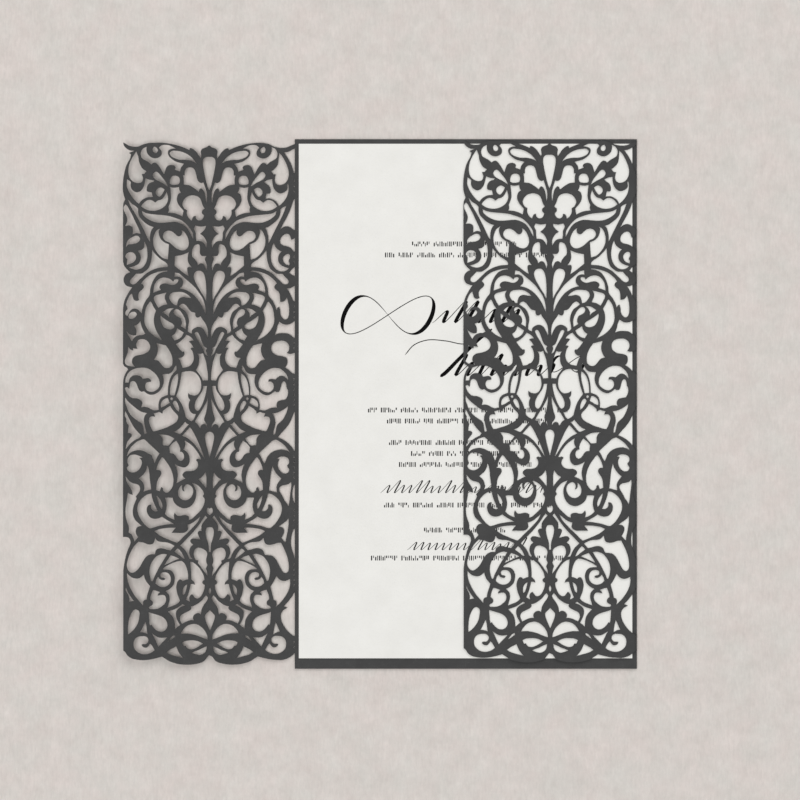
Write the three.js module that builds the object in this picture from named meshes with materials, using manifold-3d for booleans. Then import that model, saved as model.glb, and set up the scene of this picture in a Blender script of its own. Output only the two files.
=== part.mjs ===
// Laser cut invitation wrap: one sheet of dark card with a back panel and two lace flaps,
// the left flap open and the right one folded over a plain invitation card.
// Millimetres, +Z up, origin at the middle of the back panel's underside, +Y to the top of the card.

import * as THREE from 'three';
import { mergeVertices } from 'three/addons/utils/BufferGeometryUtils.js';
import Module from 'manifold-3d';

const wasm = await Module();
wasm.setup();

// Sheet and card sizes
const backWidth = 127;
const backHeight = 196.6;
const sheet = 0.3;
const cardWidth = 123.8;
const cardHeight = 191;
const cardThickness = 0.4;
const cardOffset = new THREE.Vector2(-0.1, 1.1);

// Lace flap sizes and the way each flap lies
const flapWidth = 63.7;
const laceHeight = 193.7;
const openFlapLow = 1.6;
const closedFlapLow = 2.4;
const closedFlapInset = 0.7;
const openFlapRise = 2.8;
const flapClearance = 0.25;
const bendSteps = 4;

// How finely the cut paths are followed in this model
const curveSteps = 8;
const leastCornerArea = 2.2;
const fewestCorners = 3;
const smallestGap = 4;

// The lace drawing. Each cut path is a row of points: distance from the drawing's middle line, then height
// above its lowest point. A point with ! is a corner, and the path runs smoothly through the others.
const drawnFold = 31.8;
const drawnFree = 31.9;
const drawnHeight = 193.7;
const drawnSpread = 0.6;

// Cuts that stand on both sides of the middle line, mirrored
const pairedCuts = {
  // Crown and the scrolls under the top edge
  topSweep: '23.2,192.1! 24.6,191.3 25.3,190 25.3,189 24.9,187.9 23.9,187.2 22.6,186.5 21.4,185.5! '
    + '20.9,186 19.9,186.2 19,185.5 18.1,184.3 17.2,182.7 16.7,181.9! 16.3,183.2 15.8,184.5 15,185.2 '
    + '14,185.4 12.9,185.1 12.4,184.4 12.7,183.6! 11.8,183.3 10.8,182.9! 10.5,184.2 10,185 9.3,185.8! '
    + '10.5,186.1 12.3,186.6 13.6,187.4 14.8,188.5 15.3,189.8 15,190.8 14,191.3 12.4,191.5! 13.6,192.1 '
    + '15,192.7 17,192.8 18,192.4 18.6,191.8! 18,191.1 17.6,190.2 17.7,189 18.6,188.2 20,187.8 '
    + '21.5,188.2 22.7,189.3 23.2,190.6',
  topRing: '20.3,192.1 20.9,191.2 20.5,190 19.6,189.8 19,190.5 19.2,191.4',
  sling: '4.6,185.9! 6,186.7 7.4,187.1 9,187.3 10.8,187.3 12.6,187.8 14,188.6 14.6,189.8 13.7,190.6 '
    + '12,190.6 10.3,190.3 8.3,189.5 6.6,188.3 5.3,186.8',
  shoulder: '7,184.5 8.3,184.2 9,183.2 9.1,181.5! 9.7,181.5! 9.4,180.2 9.4,178.1! 7.3,177.8 5.4,176.7 '
    + '3.9,175.5! 3.5,176.4 3,176.7 2.3,176.2 1.6,174.8 1.05,171.1! .8,172.7 .9,175 1.5,177.1 '
    + '2.1,178.9! 3,178.7 3.9,179.2 4.5,180.4 4.9,182.2 5.4,183.6 6.1,184.3',
  ringTwo: '12.4,181.4 11.2,180.8 10.85,179.4 11.3,178.3 12.6,178 14,178.1 14.6,178.5! 14.5,179.8 '
    + '13.8,181.1',
  leafDrop: '15.3,177.3! 17.2,178.6 18.8,179.4 20.2,180.3 20.85,181.5 20.4,182.5 19.6,182.85 18.8,182.4 '
    + '17.6,181 16.2,179.2',
  bean: '15.8,175.4! 15.3,173.6 15.3,172.2 16,170.6 17.6,169.2 19.9,168.4 22.3,168.5 24.1,169.2 '
    + '25.2,170! 24.7,170.8 23.7,171.8 22.4,172.4 21.1,172.2 20,171.4! 19,172.2! 17.6,172.6 16.7,173.5 '
    + '16.1,174.6',
  smallOval: '17.85,177 16.5,176.3! 17.2,174.8 18.4,173.6 19.6,174.55 19.7,175.7 19,176.6',
  strip: '14.5,177.2! 13,176.9 11.2,177.2! 11,176 10.5,175.1! 11.4,174.6 11.9,173.4 11.9,172 11.2,170.4 '
    + '10.2,169.2 9.5,168.4! 9.9,166.2! 11.2,166.9 13,167.5 15.2,167.7! 14.9,168.7 15.1,169.8! '
    + '14.5,171.2 14.1,173 14.2,175',
  dome: '6.5,174.1 8.3,173.5 9.5,172.2 9.9,170.7 9.2,169.2! 8.2,168.6! 8.2,167 7.4,165.5 6.4,164.7! '
    + '6.2,165.6 5.7,166.3 5,166.5! 4.8,165.5 3.9,164.8 2.8,165 2.1,165.9 1.9,166.7! 2.65,167.5 '
    + '2.6,168.4 1.7,169.2! 2.4,170.4 3,172.2 3.6,173.2 4.8,173.9',
  longLeaf: '24.9,168.3! 23.4,167.5 21.3,167.1 19,166.9 15.3,166.5 12.5,165.7 10.2,164.8 8.6,163.5 '
    + '7.2,161.9 6.1,160 5.9,157.9! 6.7,159.4 7.7,161.3 8.9,162.7 10.4,163.6 12.3,164.2 14.1,164.2 '
    + '17.6,163.9 19.9,164.1 21.8,164.8 23.4,165.8 24.5,166.9',
  // Star and the scrolls at its sides
  sideCrescent: '18.2,161.8! 19.5,161 20.3,159.6 20.75,157.8 20.65,155.8 20,154 18.7,152.2 17.2,150.9 '
    + '15.3,150.3! 15.1,153 14.9,155.9! 16.7,156.7 18,158 18.6,159.6 18.7,160.8',
  comma: '15,161 13.8,160.7 12.7,159.9 11.9,159.1 11.1,158.9 10.3,159.4 10,160.3 10.2,161.2! 9.2,160.5 '
    + '8.2,159 7.6,157.2 7.6,155.6 8.3,154.3 9.4,153.7 10.8,153.8 12.4,154.6 14,156 14.8,156.7! '
    + '16.2,157.3 17.1,158.5 17,159.7 16.3,160.6',
  starSide: '5.1,162.9! 5.6,161.7 5,160.3 4.9,158.2 4.7,157.2! 3.7,157.2 2.6,156.9 1.6,155.9 1,154.7! '
    + '.9,156.6 1.4,157.9 2.3,159.1 3.4,159.8! 2.1,160.9 1.4,161.9 1.15,162.8! 3.2,162.5',
  innerLobes: '4.2,156! 5.4,155.5 6.1,154.3 6.4,152.7 6.2,151.4 5.1,150.2 4.3,148.9 4.2,148.1! '
    + '3.7,148.6 3,148.9 2.1,148.6 1.5,147.6 1.1,146.1! .8,147.9 1.25,149.4 1.6,150.5 1,151.6! '
    + '2.8,151.7 3.4,152.6 3.4,154.7 3.7,155.8',
  hexGap: '7.6,153! 9.7,152.1 12.7,151.5! 12.8,148! 10.7,146.3 9,145 7.6,144.1! 8.1,146.3 8,147.3 '
    + '7.6,147.5 6.5,147.4! 7.6,148.9 7.95,150.2 7.9,151.5',
  teardrop: '4.2,146.1 5.2,145.6 5.7,144.4 5.5,143 4.9,141.6 3.9,139.8 2.9,138.1 1.9,136.6 1.15,134.8! '
    + '1.05,138 1.2,141.7 1.6,144 2.3,145.5 3.2,146.1',
  sail: '21.1,153.8! 20.2,152.6 18.1,150.5 16,149.1 15.3,148.1 15.4,147.5! 17.6,147.4 19.5,147 '
    + '21.3,146.3 23.2,145.2 24.6,143.9 26.2,142.4 27.4,141.3 28.5,141.1 29.3,141.8 29.1,142.8 '
    + '28.1,143.8 27.1,145! 25,145.1 23.7,145.9 22.5,147 21.7,148.9 21.3,151',
  sweepDown: '12.7,145.5! 12.85,143.9! 11.6,144 10.2,143.3 9.6,141.9 9.95,140.5 10.9,139.6! 8.8,139.1 '
    + '7.2,138.3 5.5,137 3.9,135.1 2.5,132.8 1.3,130! 1.35,132 1.8,134.3 2.5,136.1 3.85,138.1 5.2,139.9 '
    + '7.45,142 9.6,143.8 11.1,145.1',
  hookGap: '20.7,138! 20.5,139.5 20.2,141 19.2,142.5 17.9,143.4 16.2,143.6 14.6,143.1 13.3,142.1! '
    + '12.9,142.8! 12.1,143 11.4,142.7 11.7,141.8 12.8,141 14,140.9 15.5,141.3 16.9,141.4 18.1,140.8 '
    + '18.4,139.9 17.9,139! 19.4,138.5',
  // Round scroll in the middle of the flap
  ringCrescent: '21.9,134.7! 23.2,132.7 23.9,129.7 23.9,126.9 23.2,125.1 21.8,123.2 19.9,121.6 '
    + '17.4,120.3! 18.1,121.4 19.5,123.7 20.3,126 20.5,128.1 20.2,130 19.7,131.3! 20.6,132.7 21.5,134.5',
  ringTopOuter: '20.5,136 20,136.8 17.6,137.6 15.8,138! 16.4,136.9 16.4,135.8 15.5,133.7! 17.2,133.3 '
    + '18.8,132.4! 19.7,133.9',
  ringTop: '13.4,138.1! 10.7,138.3 9.3,138 7.6,137 6.7,136! 8.1,136.1 9.7,136.4 11.1,135.8 11.7,134.6 '
    + '11.9,133.3! 13,133.6 14.1,134.7 14.8,136.2 14.4,137.5',
  ringSide: '11.2,132.9! 10.6,133.6 9.7,133.9 8.6,133.3 7.6,132 6.7,131 5.7,130.7! 5.2,130.5 5.1,129.5 '
    + '4.6,128.8 3.9,128.8 3.2,129.3! 2.5,128.1 1.6,126.9 .8,125.3 .45,123.2 .5,121.2! 1.1,122.7 '
    + '1.9,124.2 2.8,125 4.1,125.3 5.5,124.8 6.4,123.9 6.4,122.8! 7.2,123.1 7.9,123.7! 7.8,125.1 '
    + '7.45,127.4 7.9,129.5 8.8,131.1 10,132',
  ringInnerTop: '13.1,132.2! 14.4,132.2 15.5,131.9 17.3,130.7! 16.4,130.2 15.5,129.6 14.8,128.7! '
    + '14.8,130.2 13.9,131.6',
  ringInnerSide: '12,131.9 10.9,131.4 9.8,130 8.9,128.1 8.6,126.4 8.8,124.5! 9.7,125.1 10.5,125.6! '
    + '10.1,126.5 10.2,127.6 10.7,128.6 11.5,129 12.6,129.7 13.1,130.6 12.9,131.5',
  ringInnerLow: '18,129.5! 17,128.6 15.2,127.4 13.6,126.5 12.9,125.6 13.4,124.7 14.8,124.4 16.6,125.1 '
    + '17.7,126.9 18.1,128.6',
  ringLow: '11.9,124.8! 9.4,123.2! 10.2,121.7 11.5,120.7 12.9,120.3! 13.9,121.9! 12.8,122.7 12.2,123.7',
  leafSlit: '5.4,122.9! 4.9,123.4 4.3,123.3 3.8,122.7 3.2,121.3 2.6,119.5 1.8,118 .8,117.4! 1.2,116.5 '
    + '.9,115.6 .45,114.5! 1.4,115.2 2.3,117.2 3.5,119.3 4.6,121.1',
  midGap: '8.4,122.4! 7.2,121.8 6.1,120.8 5.8,120.2! 6.7,120.2 7.5,119.9! 6.5,118.8 5.8,117.6! '
    + '6.4,117.6 6.9,117.3! 6.2,116.3 5.8,114.9 5.7,113.4 6.2,111.9 7.6,110.6 9.8,110.1! 10.3,111.5 '
    + '10.8,112.9 11.5,113.8! 10.3,113.9 9.4,114.6 9.1,115.6 9.3,116.1 10,116.1! 10.9,117 12.3,118.9! '
    + '10.7,119.9 9.3,121.2',
  trapezoid: '19.5,119.3! 16,118.4! 14.6,116.3 13.8,114.4 13.6,112.3 13.9,110.9 15.3,110 16.7,110.3 '
    + '17.9,111.7 19,112.8 20.5,113.1! 19.7,114.2 19.1,115.8 19,117.4',
  stemSide: '4.4,115.4! 3.2,115.3 2.3,115.6! 1.7,113.9 1.15,112.3 .8,110 .5,108 .45,105.5! 2.3,105.4! '
    + '2.7,106.4 3.5,107.6 4.3,108.6 4.9,109.3! 4.4,110.1 3.9,111.1 3.7,112.8 3.8,114.4',
  // Heart and the leaves that cross under it
  crossLeaf: '14.5,100! 14.45,101.6 14.3,103.2 13.9,105 13.1,106.7 12.1,107.7 11.55,108! 11.5,106 '
    + '11.8,104 12.3,102 12.8,99.9!',
  bigTear: '10.2,108.5! 10.4,106.9 10.9,104 11.5,101.6 12.2,99.6! 11.2,98.3 10.1,96.5 9.4,94.7 8.9,93 '
    + '8.6,91.7! 7.5,90.8 6.5,90.3! 5.7,91.1 4.9,92.9! 6,93.1 6.9,93.8 7.4,94.9 7.6,96.2 7.4,97.4 '
    + '7,98.2! 7.6,98.9 7.85,99.9 7.8,100.8! 7.1,100.2 6.1,99.9 5,99.9 4,100.5 3.3,101.6 2.95,103 '
    + '3,104.6 3.4,106.1 4.2,107.4 5.3,108.4 6.9,108.9 8.6,108.8',
  knotDrop: '17.8,95.4! 17.9,96.3 17.6,97.5 16.9,98.3 16,98.8 15.3,98.9! 15,98 14.6,97.1! 15.5,96.6 '
    + '16.6,95.9',
  knotSlot: '13.5,97! 13,97.8 12.4,97.8 11.8,97.1 11.3,95.9 11.1,94.7 11.2,93.8! 12.1,94.6 12.9,95.8',
  knotEye: '14.4,98.6 13.9,99.2 13.4,98.7 13.8,98.1',
  heart: '14.4,96! 13.9,95 13.1,94 12.2,93.1 11.6,92.3 11.55,91.3 12,90.3 13.2,89.3 14.6,88.6 16.2,87.8 '
    + '18.1,87.2 20.2,86.6 20.8,86.6! 21.3,87.4 21.8,88.6 22.2,89.8 22.3,90.9 21.9,91.8 21,92.1 20,92! '
    + '20.5,93.2! 19.5,93.4 18.5,93.7 17.3,93.1! 17.15,94.1! 15.8,95.2',
  stemLeaf: '2.1,103.4! 2.3,102.2 2.8,101.1 3.7,99.8 4.6,98.5 5.2,97 5.35,95.6 5,94.6 4.2,94.1! '
    + '3.6,94.6 2.9,95.8 2.3,97.1 1.7,98.8 1.2,100.7 .8,103.4!',
  spearSide: '.5,98.9! 1.1,97.3 1.9,95.8 2.8,94.2 3.8,92.6 4.8,91 5.3,90! 4.5,89.5 3.9,88.7 3.3,87.7! '
    + '3,88.7 2.4,89.2 1.7,89.2 1,88.6 .6,87.9! .7,88.9 1.2,89.7 1.8,90.6 1.8,91.5 1.3,92.9 .9,94.8 '
    + '.6,96.8',
  crossKite: '8.9,90.1! 8.3,89.4 7.5,89.2! 8.4,88.2 9.4,87 10.3,85.9 10.9,85.5! 11.9,85.9 13.3,86.4! '
    + '12,86.9 10.8,87.8 9.8,89',
  fanLeaf: '7.1,88.1! 6.3,87 5.6,85.8 5,84.6 4.4,83.3 3.8,82 3.2,80.6 2.6,79 2,77.4 1.6,76.3! 2.4,77.4 '
    + '3.4,79 4.4,80.5 5.6,82 6.9,83.2 8.3,84.2 10,84.9! 9.2,85.8 8.1,87',
  fanWedge: '18.7,85.4! 16.8,85.3 15,85 13.6,84.3 12.9,83.9! 13.6,83 14.3,82.1 15.1,81.3 16,81.3 '
    + '17.1,81.4! 17.2,82.6 17.2,83.6 17.6,84.5 18.2,85.2',
  hookScroll: '12.2,83.1! 11.6,82.2 11,81 10.7,79.9 10.8,79! 10.1,78.9 9.5,78.2 9.3,77.1 9.6,76.1 '
    + '10.3,75.6 11.1,75.8 11.9,76.6 12.5,77.6 13.3,78.3 14.6,78.5! 14.6,79.6 14.8,80.6! 14,81.7 '
    + '13.1,82.5',
  hookOuter: '9.1,83.2! 8,82.5 6.7,81.6 5.6,80.5 4.6,79.2 3.8,78 2.9,76.2! 3.7,76.2 4.3,76.4 4.9,75.9! '
    + '4.3,75.1 4.1,74 4.5,72.9 5.5,72.1 6.9,71.8 8.4,71.8 9.5,71.2 9.9,70.4 9.5,69.6 8.8,69! 10,68.5 '
    + '11.1,67.9 12.1,67.3! 11.8,68.7 11.6,70.2 11.8,71.8 12.2,73.2 12.8,74.5! 11.6,73.8 10.3,73.3 '
    + '9,73.2 8,73.8 7.4,74.8 7.2,76.1 7.4,77.5 8,78.6 8.8,79.4 9.5,79.8! 9,80.8 8.8,81.9',
  halfHeart: '17.4,77! 16.7,76.4 15.9,75.3 15.1,74.2 14.4,73 13.8,71.6 13.4,70.2 13.2,68.7 13.3,66.9! '
    + '13.7,65.7 14.4,64.7 15.3,63.9 16.1,63.8! 17,64.6! 17.1,65.5! 17.7,65.9! 18.1,65! 18.3,64.3! '
    + '19.6,64.8! 19.5,66.3 19.3,67.8 18.8,69 18,70.1 17.7,71 18,71.9 18.7,72.2 19.6,72.2! 19.3,73.4 '
    + '18.8,74.8 18.2,76',
  // Lower scrolls
  ringGap: '21.4,63.5! 21.2,62.2 20.7,60.6 20,58.9 19.1,57! 20.1,56.9 21,57.4 21.5,58.3 21.4,59.4! '
    + '22.3,59.3 23,58.4 23.1,57 22.6,55.6 21.6,54.5 20.2,54.1 18.7,54.3 17.5,54.9! 16.2,54 14.8,53.2 '
    + '13,52.2! 15,52.1 17,51.8 19,51.4 20.8,50.8 22,50.6 23,51.2 24.2,52.4 25.3,54 26.2,55.8 26.6,57.7 '
    + '26.3,59.5 25.4,61.1 24.1,62.4 22.8,63.2',
  ringLeaf: '19.4,62.8! 18.7,62 18,61 17.5,59.9 17.3,58.8 17.5,57.7! 18,58.2 18.5,59.3 18.9,60.4 '
    + '19.2,61.6',
  bowlGap: '16.3,61.9! 14.8,62 13.5,61.9! 13.2,60.6 12.3,59.4 11,58.5 9.5,58 8,58.2 6.8,58.8 5.8,59.9 '
    + '5.1,61.4 4.8,63 4.9,64.6 5.5,66.1 6.4,67.5! 5.2,67.1 4,66.4 3,65.4 2.2,64.3 1.9,63.3! 2.4,62.5! '
    + '1.7,61.5 1.7,60.3 2.2,58.8 3,57.4 4.1,56.2 5.3,55.1 6.4,54.1 7.5,53.7! 7.5,54.9 8.3,55.4 '
    + '9.5,55.5 10.7,55.2 11.8,55.3 12.8,56.4! 13.1,55.3 12.8,53.8! 14.2,54.3 15.5,55.1 16.4,56! '
    + '15.9,57.4 15.7,58.9 15.9,60.5',
  smallSpiral: '10,66.7! 10.8,66 11.3,65 11.5,63.8 11.2,62.4 10.4,61.5 9.2,61 7.9,61.2 6.8,62 6.1,63.2 '
    + '5.9,64.5 6.3,65.8 7.2,66.6 8.2,66.9 9,66.4 9.4,65.4 9.1,64.2! 9.9,64.7 10.1,65.7',
  stemWedge: '1.4,71.4! 2,70.4 2.9,69.4 4,68.8! 3.2,68 2.4,67.1 1.7,66.2 1,65.3! 1,67.2 1,69.2 1.2,70.6',
  arrowGap: '20.3,49.5! 18.7,50.2 16.6,50.6 14.5,50.8 12.4,50.8! 13.1,50 13.9,48.9! 12.4,48.9 10.9,48.9 '
    + '9.5,48.9 8.4,49.4 7.8,50.3 8.1,51.9! 7,52.2 5.7,52.9 4.5,53.9 3.2,55! 4.2,53 5.3,51.7 6.6,50.3 '
    + '8.1,48.8 9.6,47.4 10.9,46 11.9,45.2! 13.3,45.7 15,46.4 16.9,47.2 18.7,48.2',
  plumeLeaf: '15.6,40.9! 17,41.1 18.3,40.8 19.5,40.2 20.6,39 21.5,37.5 22,35.9 22.1,34.1 21.8,32.4 '
    + '21.4,31.1! 21,31 20.3,32.6 19.5,34.2 18.6,36 17.5,37.8 16.5,39.4',
  plumeWedge: '14.2,40.6! 13.3,40.3 12.2,39.9 11.1,39.3! 12.3,38.9 13.6,38.3 14.9,37.7 16.6,36.9! '
    + '15.8,38.2 15,39.4',
  plumeTriangle: '11.6,43.1! 12.3,42.6 12.8,41.9! 11.9,41.2 10.9,40.5 10,39.7 9.1,39.3! 9.6,40.5 '
    + '10.2,41.6 10.9,42.5',
  archGap: '17.1,35.7! 15.8,36.6 14.3,37.4 12.8,38 11.4,38.4 10.2,38.5! 9.3,37.8 8.6,36.6 8.1,35.1 '
    + '7.8,33.5 7.8,31.7! 8.6,31.5 9.8,31! 10.3,31.5 11,31.6 11.6,31 12,30 12.2,28.7 12,27.2 11.7,25.9 '
    + '11.3,25 10.8,23.7! 11.5,22.9 12.6,22.2 13.9,21.7 15.4,21.1! 15.1,22.2 14.7,23.5 14.6,24.8 '
    + '14.9,26 15.5,26.7 16.2,27.3! 15,27.8 14,28.6 13.2,29.6 12.8,31 12.7,32.3 13,33.5 13.6,34.5 '
    + '14.5,35.1 15.6,35.3 17.1,35.3!',
  plumeSpiral: '18.9,32.6! 18.3,31.8 17.4,31.4 16.6,31.4! 16.2,31.9! 16.9,32.3 17.6,32.4 18,33 '
    + '17.9,33.8 17.3,34.2 16.3,34.3 15.3,34 14.5,33.1 14.2,31.9 14.4,30.5 15.2,29.5 16.4,28.9 '
    + '17.8,28.9 19,29.4 19.9,30.2! 19.6,31.5',
  gardenGap: '7,38.2! 5.9,37.9 4.7,37 3.6,35.8 2.7,34.4 2,33 1.7,31.5! 2.5,30.8 2.4,30.1 1.6,29.5! '
    + '1.8,28 2.3,26.6 3.1,25.3 4.1,24.6 5.1,24.7 5.8,25.5 6.3,26.2! 7,25.7 7.4,24.7 7.1,23.3! '
    + '8.6,24.1! 8.1,25.3 7.5,26.9 7.1,28.4 6.8,29.9! 5.9,29.9 5.2,29.6! 5.5,30.6 6.1,31.2 6.6,31.7! '
    + '6.6,33.2 6.7,35 6.9,36.7',
  gardenWedge: '8.1,29.8! 9,29.2 9.7,28 9.8,26.7 9.7,25.8! 9.1,26.2 8.6,27.5 8.3,28.7',
  vaseSide: '1.4,55.3! .7,54.5! 1.3,53.9 2.1,52.9 2.8,51.7 2.9,50.6 2.8,49.6! 3.7,49.6 4.2,49 4,48 '
    + '3.6,47.1 3.1,46.2! 4.2,46.5 5.4,46.8 6.4,46.7 7,46 6.7,45.2 5.9,44.5! 6.8,43.8 7.3,42.7 7.4,41.5 '
    + '7,40.2 6.3,39.2! 7.2,39.3 8,41 8.9,42.5 10.7,44.2! 9.4,45.5 8,47 6.6,48.4 5.3,49.9 4.1,51.4 '
    + '3,52.9 2.1,54.3',
  vaseLobe: '4.1,43.4 5.1,42.9 5.6,41.9 5.7,40.8 5.4,39.7 4.9,38.9! 4,38.6! 4.2,37.7! 3.1,36.4 2.1,34.9 '
    + '1.3,33.9 .55,32.8! .7,34.2 1.2,35.7! .6,37! 1,37.9 1.1,39 .8,40.2 .7,41.2 1.2,42.2 2.4,43',
  budGap: '20.8,27.7! 19.8,27.5 18.2,26.9! 18.8,26.4 19.1,25.6! 17.8,25.9! 17,25.9 16.4,25.6 16,24.7 '
    + '16,23.6 16.5,22.6 17.4,21.8 18.4,21.1 19.5,20.7 20.9,20.6 22,20.7 22.4,21.2! 21.9,21.7 21.2,22 '
    + '20.8,22.8 21.1,23.7 21.8,24.2! 21.7,25.2 21.4,26.3',
  // Base
  baseOval: '22.4,19.5! 20.9,19 19.2,18.5 17.6,17.9 16.3,16.9 15.6,15.6 15.5,14.2 16.1,13 17.2,12.3 '
    + '18.5,12.3 19.7,12.9 20.7,13.9 21.4,14.9! 21.9,14.6! 22.1,15.6 22.2,17 22.3,18.3',
  baseSpiral: '25,10.6 26.3,10.4 27.3,9.7 27.9,8.6 28,7.3 27.6,5.9 26.6,4.8 25.3,4.1 23.8,3.9 22.2,4.2 '
    + '20.8,4.9 20.2,5.4! 20.7,6.3 21.3,7.3 21.9,7.8! 22.4,7 23.1,6.4 24,6.4 24.8,6.9 25,7.5 24.4,7.7 '
    + '23.5,7.7 22.7,8.4 22.5,9.3 22.9,10.1 23.8,10.6',
  baseWedge: '21.2,11.6! 20.5,10.4 19.9,9.1 19.3,7.8 18.8,6.7! 18,7.6 17.2,8.4 16.4,9.2 15.5,10.2! '
    + '16.7,10 18,10 19.2,10.3 20.2,10.9',
  baseSlit: '15.3,8.5! 14.4,9.1 13.6,9.7 12.8,10.3 12.9,10.9! 13.8,10.5 14.6,9.6 15.2,8.8',
  baseTriangle: '12.2,6.8! 13.3,6.2 14.5,5.6 15.8,4.6! 14.4,3.8 12.9,3.3 11.4,2.9 9.5,2.4! 10.3,3.3 '
    + '11.1,4.3 11.7,5.5',
  baseEye: '10,8.3! 8.8,8.8 7.3,9 5.7,9 4.2,8.7 2.3,7.8! 3.4,7.1 4.7,6.3 6,5.8 7.2,5.7 8.1,6.1 8.7,7! '
    + '9.4,7',
  baseLowEye: '6.5,4.4! 5.2,5 3.9,5.4 2.6,6.1 .9,6.8! 1,5.7 1.4,4.7 2.2,4 3.4,3.6 4.8,3.8',
  baseDome: '10.5,11.5! 9.9,12.6 9.1,13.6 8,14.5 6.6,15 5.2,15.1 3.8,14.6 2.6,13.7 1.5,12.4 .8,11 '
    + '.5,9.3! 1.5,9.6 2.8,10.1 4.5,10.8 6.3,11.3 8.4,11.6',
  baseScroll: '1.1,25.7! .5,24.9 .5,24.4 .9,23.6 1.6,22.7 2.3,21.6 2.8,20.5 3,19.2 3.1,18.6! 3.8,19.1 '
    + '4.8,19 5.7,18.3 6,17.4 5.7,16.5! 6.8,16.5 8,16.2 9.2,15.6 10.1,15.2! 10.5,16 10.8,17 10.6,18 '
    + '10,18.7 9,19.2 8,19.7 7.1,20.2 6.6,21 6.8,21.6! 5.8,21.8 4.7,22.3 3.7,23 2.7,23.8 1.9,24.9',
  baseHook: '9,22! 9.8,22.5! 10.7,21.8 11.8,21.1 12.9,20.5 14.2,20.1 15.3,19.7! 14.5,18.9 13.6,17.9 '
    + '13,16.7 12.7,15.2 12.6,13.2! 11.8,14 10.8,14.7! 11.3,15.6 11.9,16.8 12.3,18.3 12.2,19.7 '
    + '11.6,20.6 10.5,21.4',
};

// Cuts on the middle line, given as one half
const middleCuts = {
  crownDrop: '0,188.4 1.2,188.3 2.1,187.6 2.35,186.3 2.1,184 1.4,180.6 .6,177.4 0,176!',
  fanDrop: '0,86.4 .8,86.2 1.4,85.6 1.7,84.6 1.5,83 1.2,81.6 .8,80 .4,78.4 0,76.7!',
  diamond: '0,57.9 .5,58.2 .9,58 1.1,57 .9,56.3 .4,55.7 0,55.5',
  vaseDrop: '0,51 1,50.8 1.5,49.6 1.4,48 1,46.3 .5,44.8 .35,43.2 .35,41.8! 0,41.8',
  vaseSlot: '0,28.6! .4,27.8 .35,26.8 0,26.1!',
  kite: '0,20.2! .8,19.4 1.8,18.2 1.7,16.9 1.2,15.4 .6,14 0,12.6!',
};

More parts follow.
